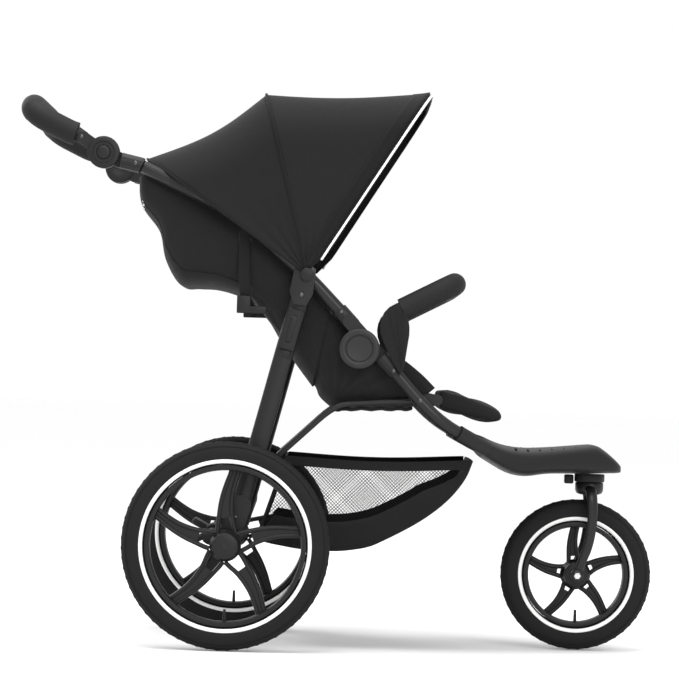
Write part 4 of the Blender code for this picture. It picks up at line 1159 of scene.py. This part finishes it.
ring = [(0.0, 0.3500), (0.0295, 0.3500), (0.0300, 0.3480), (0.0300, 0.3370), (0.0290, 0.3345), (0.0, 0.3345)]
line = [housing.verts.new((r, 0, z)) for r, z in ring]
bmesh.ops.spin(housing, geom=line + [housing.edges.new(pair) for pair in zip(line, line[1:])], cent=(0, 0, 0),
               axis=(0, 0, 1), angle=2 * pi, steps=48, use_merge=True)
bmesh.ops.translate(housing, vec=(0.505, 0, 0), verts=housing.verts)
bmesh.ops.remove_doubles(housing, verts=housing.verts, dist=0.00001)
crisp(built("steerer_cup", housing, MOULD, "front_frame", "steerer_housing", ["steerer_housing"]), 40)
fork = bmesh.new()
crown = [(0.0, 0.3338), (0.0262, 0.3338), (0.0280, 0.3320), (0.0280, 0.3180), (0.0255, 0.3120),
         (0.0180, 0.3090),
         (0.0, 0.3090)]
line = [fork.verts.new((r, 0, z)) for r, z in crown]
bmesh.ops.spin(fork, geom=line + [fork.edges.new(pair) for pair in zip(line, line[1:])], cent=(0, 0, 0),
               axis=(0, 0, 1), angle=2 * pi, steps=48, use_merge=True)
bmesh.ops.translate(fork, vec=(0.505, 0, 0), verts=fork.verts)
bmesh.ops.remove_doubles(fork, verts=fork.verts, dist=0.00001)
for sign, side in SIDES:
    path = eased([(0.505, sign * 0.012, 0.3190), (0.506, sign * 0.040, 0.3185),
                  (0.508, sign * 0.0505, 0.3020),
                  (0.511, sign * 0.0500, 0.2650), (0.504, sign * 0.0500, 0.2100),
                  (0.490, sign * 0.0500, 0.1750),
                  (0.482, sign * 0.0500, 0.1500)], 2)
    sizes = [0.0125 - 0.0040 * i / (len(path) - 1) for i in range(len(path))]
    swept(fork, path, sizes, 24, 0.72, Vector((0, 1, 0.2)))
    turned(fork, [(0.0128, -0.0110), (0.0132, -0.0060), (0.0132, 0.0060), (0.0110, 0.0090), (0.0, 0.0100)],
           Vector((0.482, sign * 0.0520, 0.150)), sign, 40)
crisp(built("fork_casting", fork, COAT, "fork", "fork", ["fork"]), 50)
nuts = bmesh.new()
for sign, side in SIDES:
    turned(nuts, [(0.0072, 0.0), (0.0072, 0.0036), (0.0060, 0.0048), (0.0, 0.0050)],
           Vector((0.482, sign * 0.0615, 0.150)), sign, 6)
crisp(built("fork_nuts", nuts, STEEL, "fork", "front_axle"), 20)
catch = bmesh.new()
block = bmesh.ops.create_cube(catch, size=1.0)["verts"]
bmesh.ops.transform(catch, matrix=Matrix.Translation((0.464, 0, 0.339)) @ Matrix.Diagonal((0.018, 0.022,
                                                                                           0.018, 1)),
                    verts=block)
bmesh.ops.bevel(catch, geom=list(catch.edges), offset=0.003, segments=3, profile=0.5, affect="EDGES",
                material=-1)
crisp(built("swivel_catch", catch, MOULD, "swivel_lock", "swivel_lock", ["swivel_lock"]), 50)


# ---- basket -------------------------------------------------------------------------------------------
# A sagging shopping basket between the rear rails and the footplate: solid cloth under and round the
# rims, and a window of knitted net at each side.

BASKET_CLOTH = canvas("basket_cloth", 0.0045)
NET = Finish("net_thread", (0.006, 0.006, 0.0065), 0.80).material
floor_line = eased([(-0.0980, 0.0, 0.3720), (-0.1200, 0.0, 0.3050), (-0.1430, 0.0, 0.2350),
                    (-0.1500, 0.0, 0.2140),
                    (-0.1380, 0.0, 0.2050), (-0.0800, 0.0, 0.1960), (0.0000, 0.0, 0.1895),
                    (0.0650, 0.0, 0.2000),
                    (0.1150, 0.0, 0.2240), (0.1700, 0.0, 0.2560), (0.2180, 0.0, 0.2940),
                    (0.2520, 0.0, 0.3380),
                    (0.2640, 0.0, 0.3730)], 2)


def rim_height(x):
    share = (x + 0.098) / 0.356
    return 0.373 + 0.001 * share - 0.007 * sin(pi * max(0.0, min(1.0, share))) ** 1.2


def wall_height(x):
    """The basket's low edge at a place along it: its back wall slopes, so it starts behind the rim."""
    ahead = [p for p in floor_line if p.z < 0.2145 or p.x > 0.0]
    for a, b in zip(ahead, ahead[1:]):
        if a.x <= x <= b.x and b.x > a.x:
            return a.z + (b.z - a.z) * (x - a.x) / (b.x - a.x)
    return 0.2140


def side_edge(x):
    """(low, high) of the side wall at a place along it."""
    high = 0.2140 + (x + 0.150) * (0.158 / 0.052) if x < -0.098 else rim_height(x)
    return wall_height(x), max(high, wall_height(x) + 0.0005)


def belly(x, z):
    low, high = side_edge(min(max(x, -0.149), 0.2605))
    share = max(0.0, min(1.0, (z - low) / max(0.01, high - low)))
    return 0.1975 + 0.0080 * sin(pi * share) * min(1.0, (high - low) / 0.12)


tub = bmesh.new()
across = 28


def tub_place(u, v):
    at = u * (len(floor_line) - 1)
    i = min(int(at), len(floor_line) - 2)
    p = floor_line[i].lerp(floor_line[i + 1], at - i)
    y = (v - 0.5) * 2
    sag = 0.006 * (1 - y * y) * sin(pi * u) ** 0.7
    return Vector((p.x, y * 0.1975, p.z - sag + 0.002 * sin(u * 40) * (1 - y * y)))


sheet_of(tub, 110, across, tub_place)
tub_obj = thicken(built("basket_floor", tub, BASKET_CLOTH, None, "basket", ["basket"]), 0.0020)


def band_place(u, v, sign, low_band):
    """A point of the side's lower or upper band."""
    x = -0.1490 + 0.4095 * u
    low, high = side_edge(x)
    tall = high - low
    if low_band:
        z = low + min(0.056, tall * 0.5) * v
    else:
        z = high - min(0.018, tall * 0.5) * v
    return Vector((x, sign * (belly(x, z) + 0.0008), z))


bands = []
for sign, side in SIDES:
    wall = bmesh.new()
    sheet_of(wall, 110, 6, lambda u, v: band_place(u, v, sign, True))
    low_band = thicken(built(f"basket_low_band_{side}", wall, BASKET_CLOTH, None, "basket"), 0.0016)
    wall = bmesh.new()
    sheet_of(wall, 110, 5, lambda u, v: band_place(u, v, sign, False))
    top_band = thicken(built(f"basket_top_band_{side}", wall, BASKET_CLOTH, None, "basket"), 0.0016)
    net = bmesh.new()
    bmesh.ops.create_grid(net, x_segments=96, y_segments=96, size=0.234)
    bmesh.ops.rotate(net, cent=(0, 0, 0), matrix=Matrix.Rotation(pi / 4, 3, "Z"), verts=net.verts)
    gone = []
    for v in net.verts:
        x, z = 0.054 + v.co.x, 0.290 + v.co.y
        inside = -0.146 < x < 0.250
        if inside:
            low, high = side_edge(x)
            inside = low + min(0.050, (high - low) * 0.45) < z < high - min(0.014, (high - low) * 0.45)
        if not inside:
            gone.append(v)
        v.co = Vector((x, sign * belly(x, z), z))
    bmesh.ops.delete(net, geom=gone, context="VERTS")
    bmesh.ops.wireframe(net, faces=net.faces, thickness=0.0010, use_replace=True, use_boundary=True)
    net_obj = built(f"basket_net_{side}", net, NET, None, "basket", smooth=False)
    bands += [low_band, top_band, net_obj]
for obj in (tub_obj, *bands):
    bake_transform(obj)


low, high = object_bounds()
{"cad_low": list(cad_low), "cad_high": list(cad_high), "low": list(low), "high": list(high)}
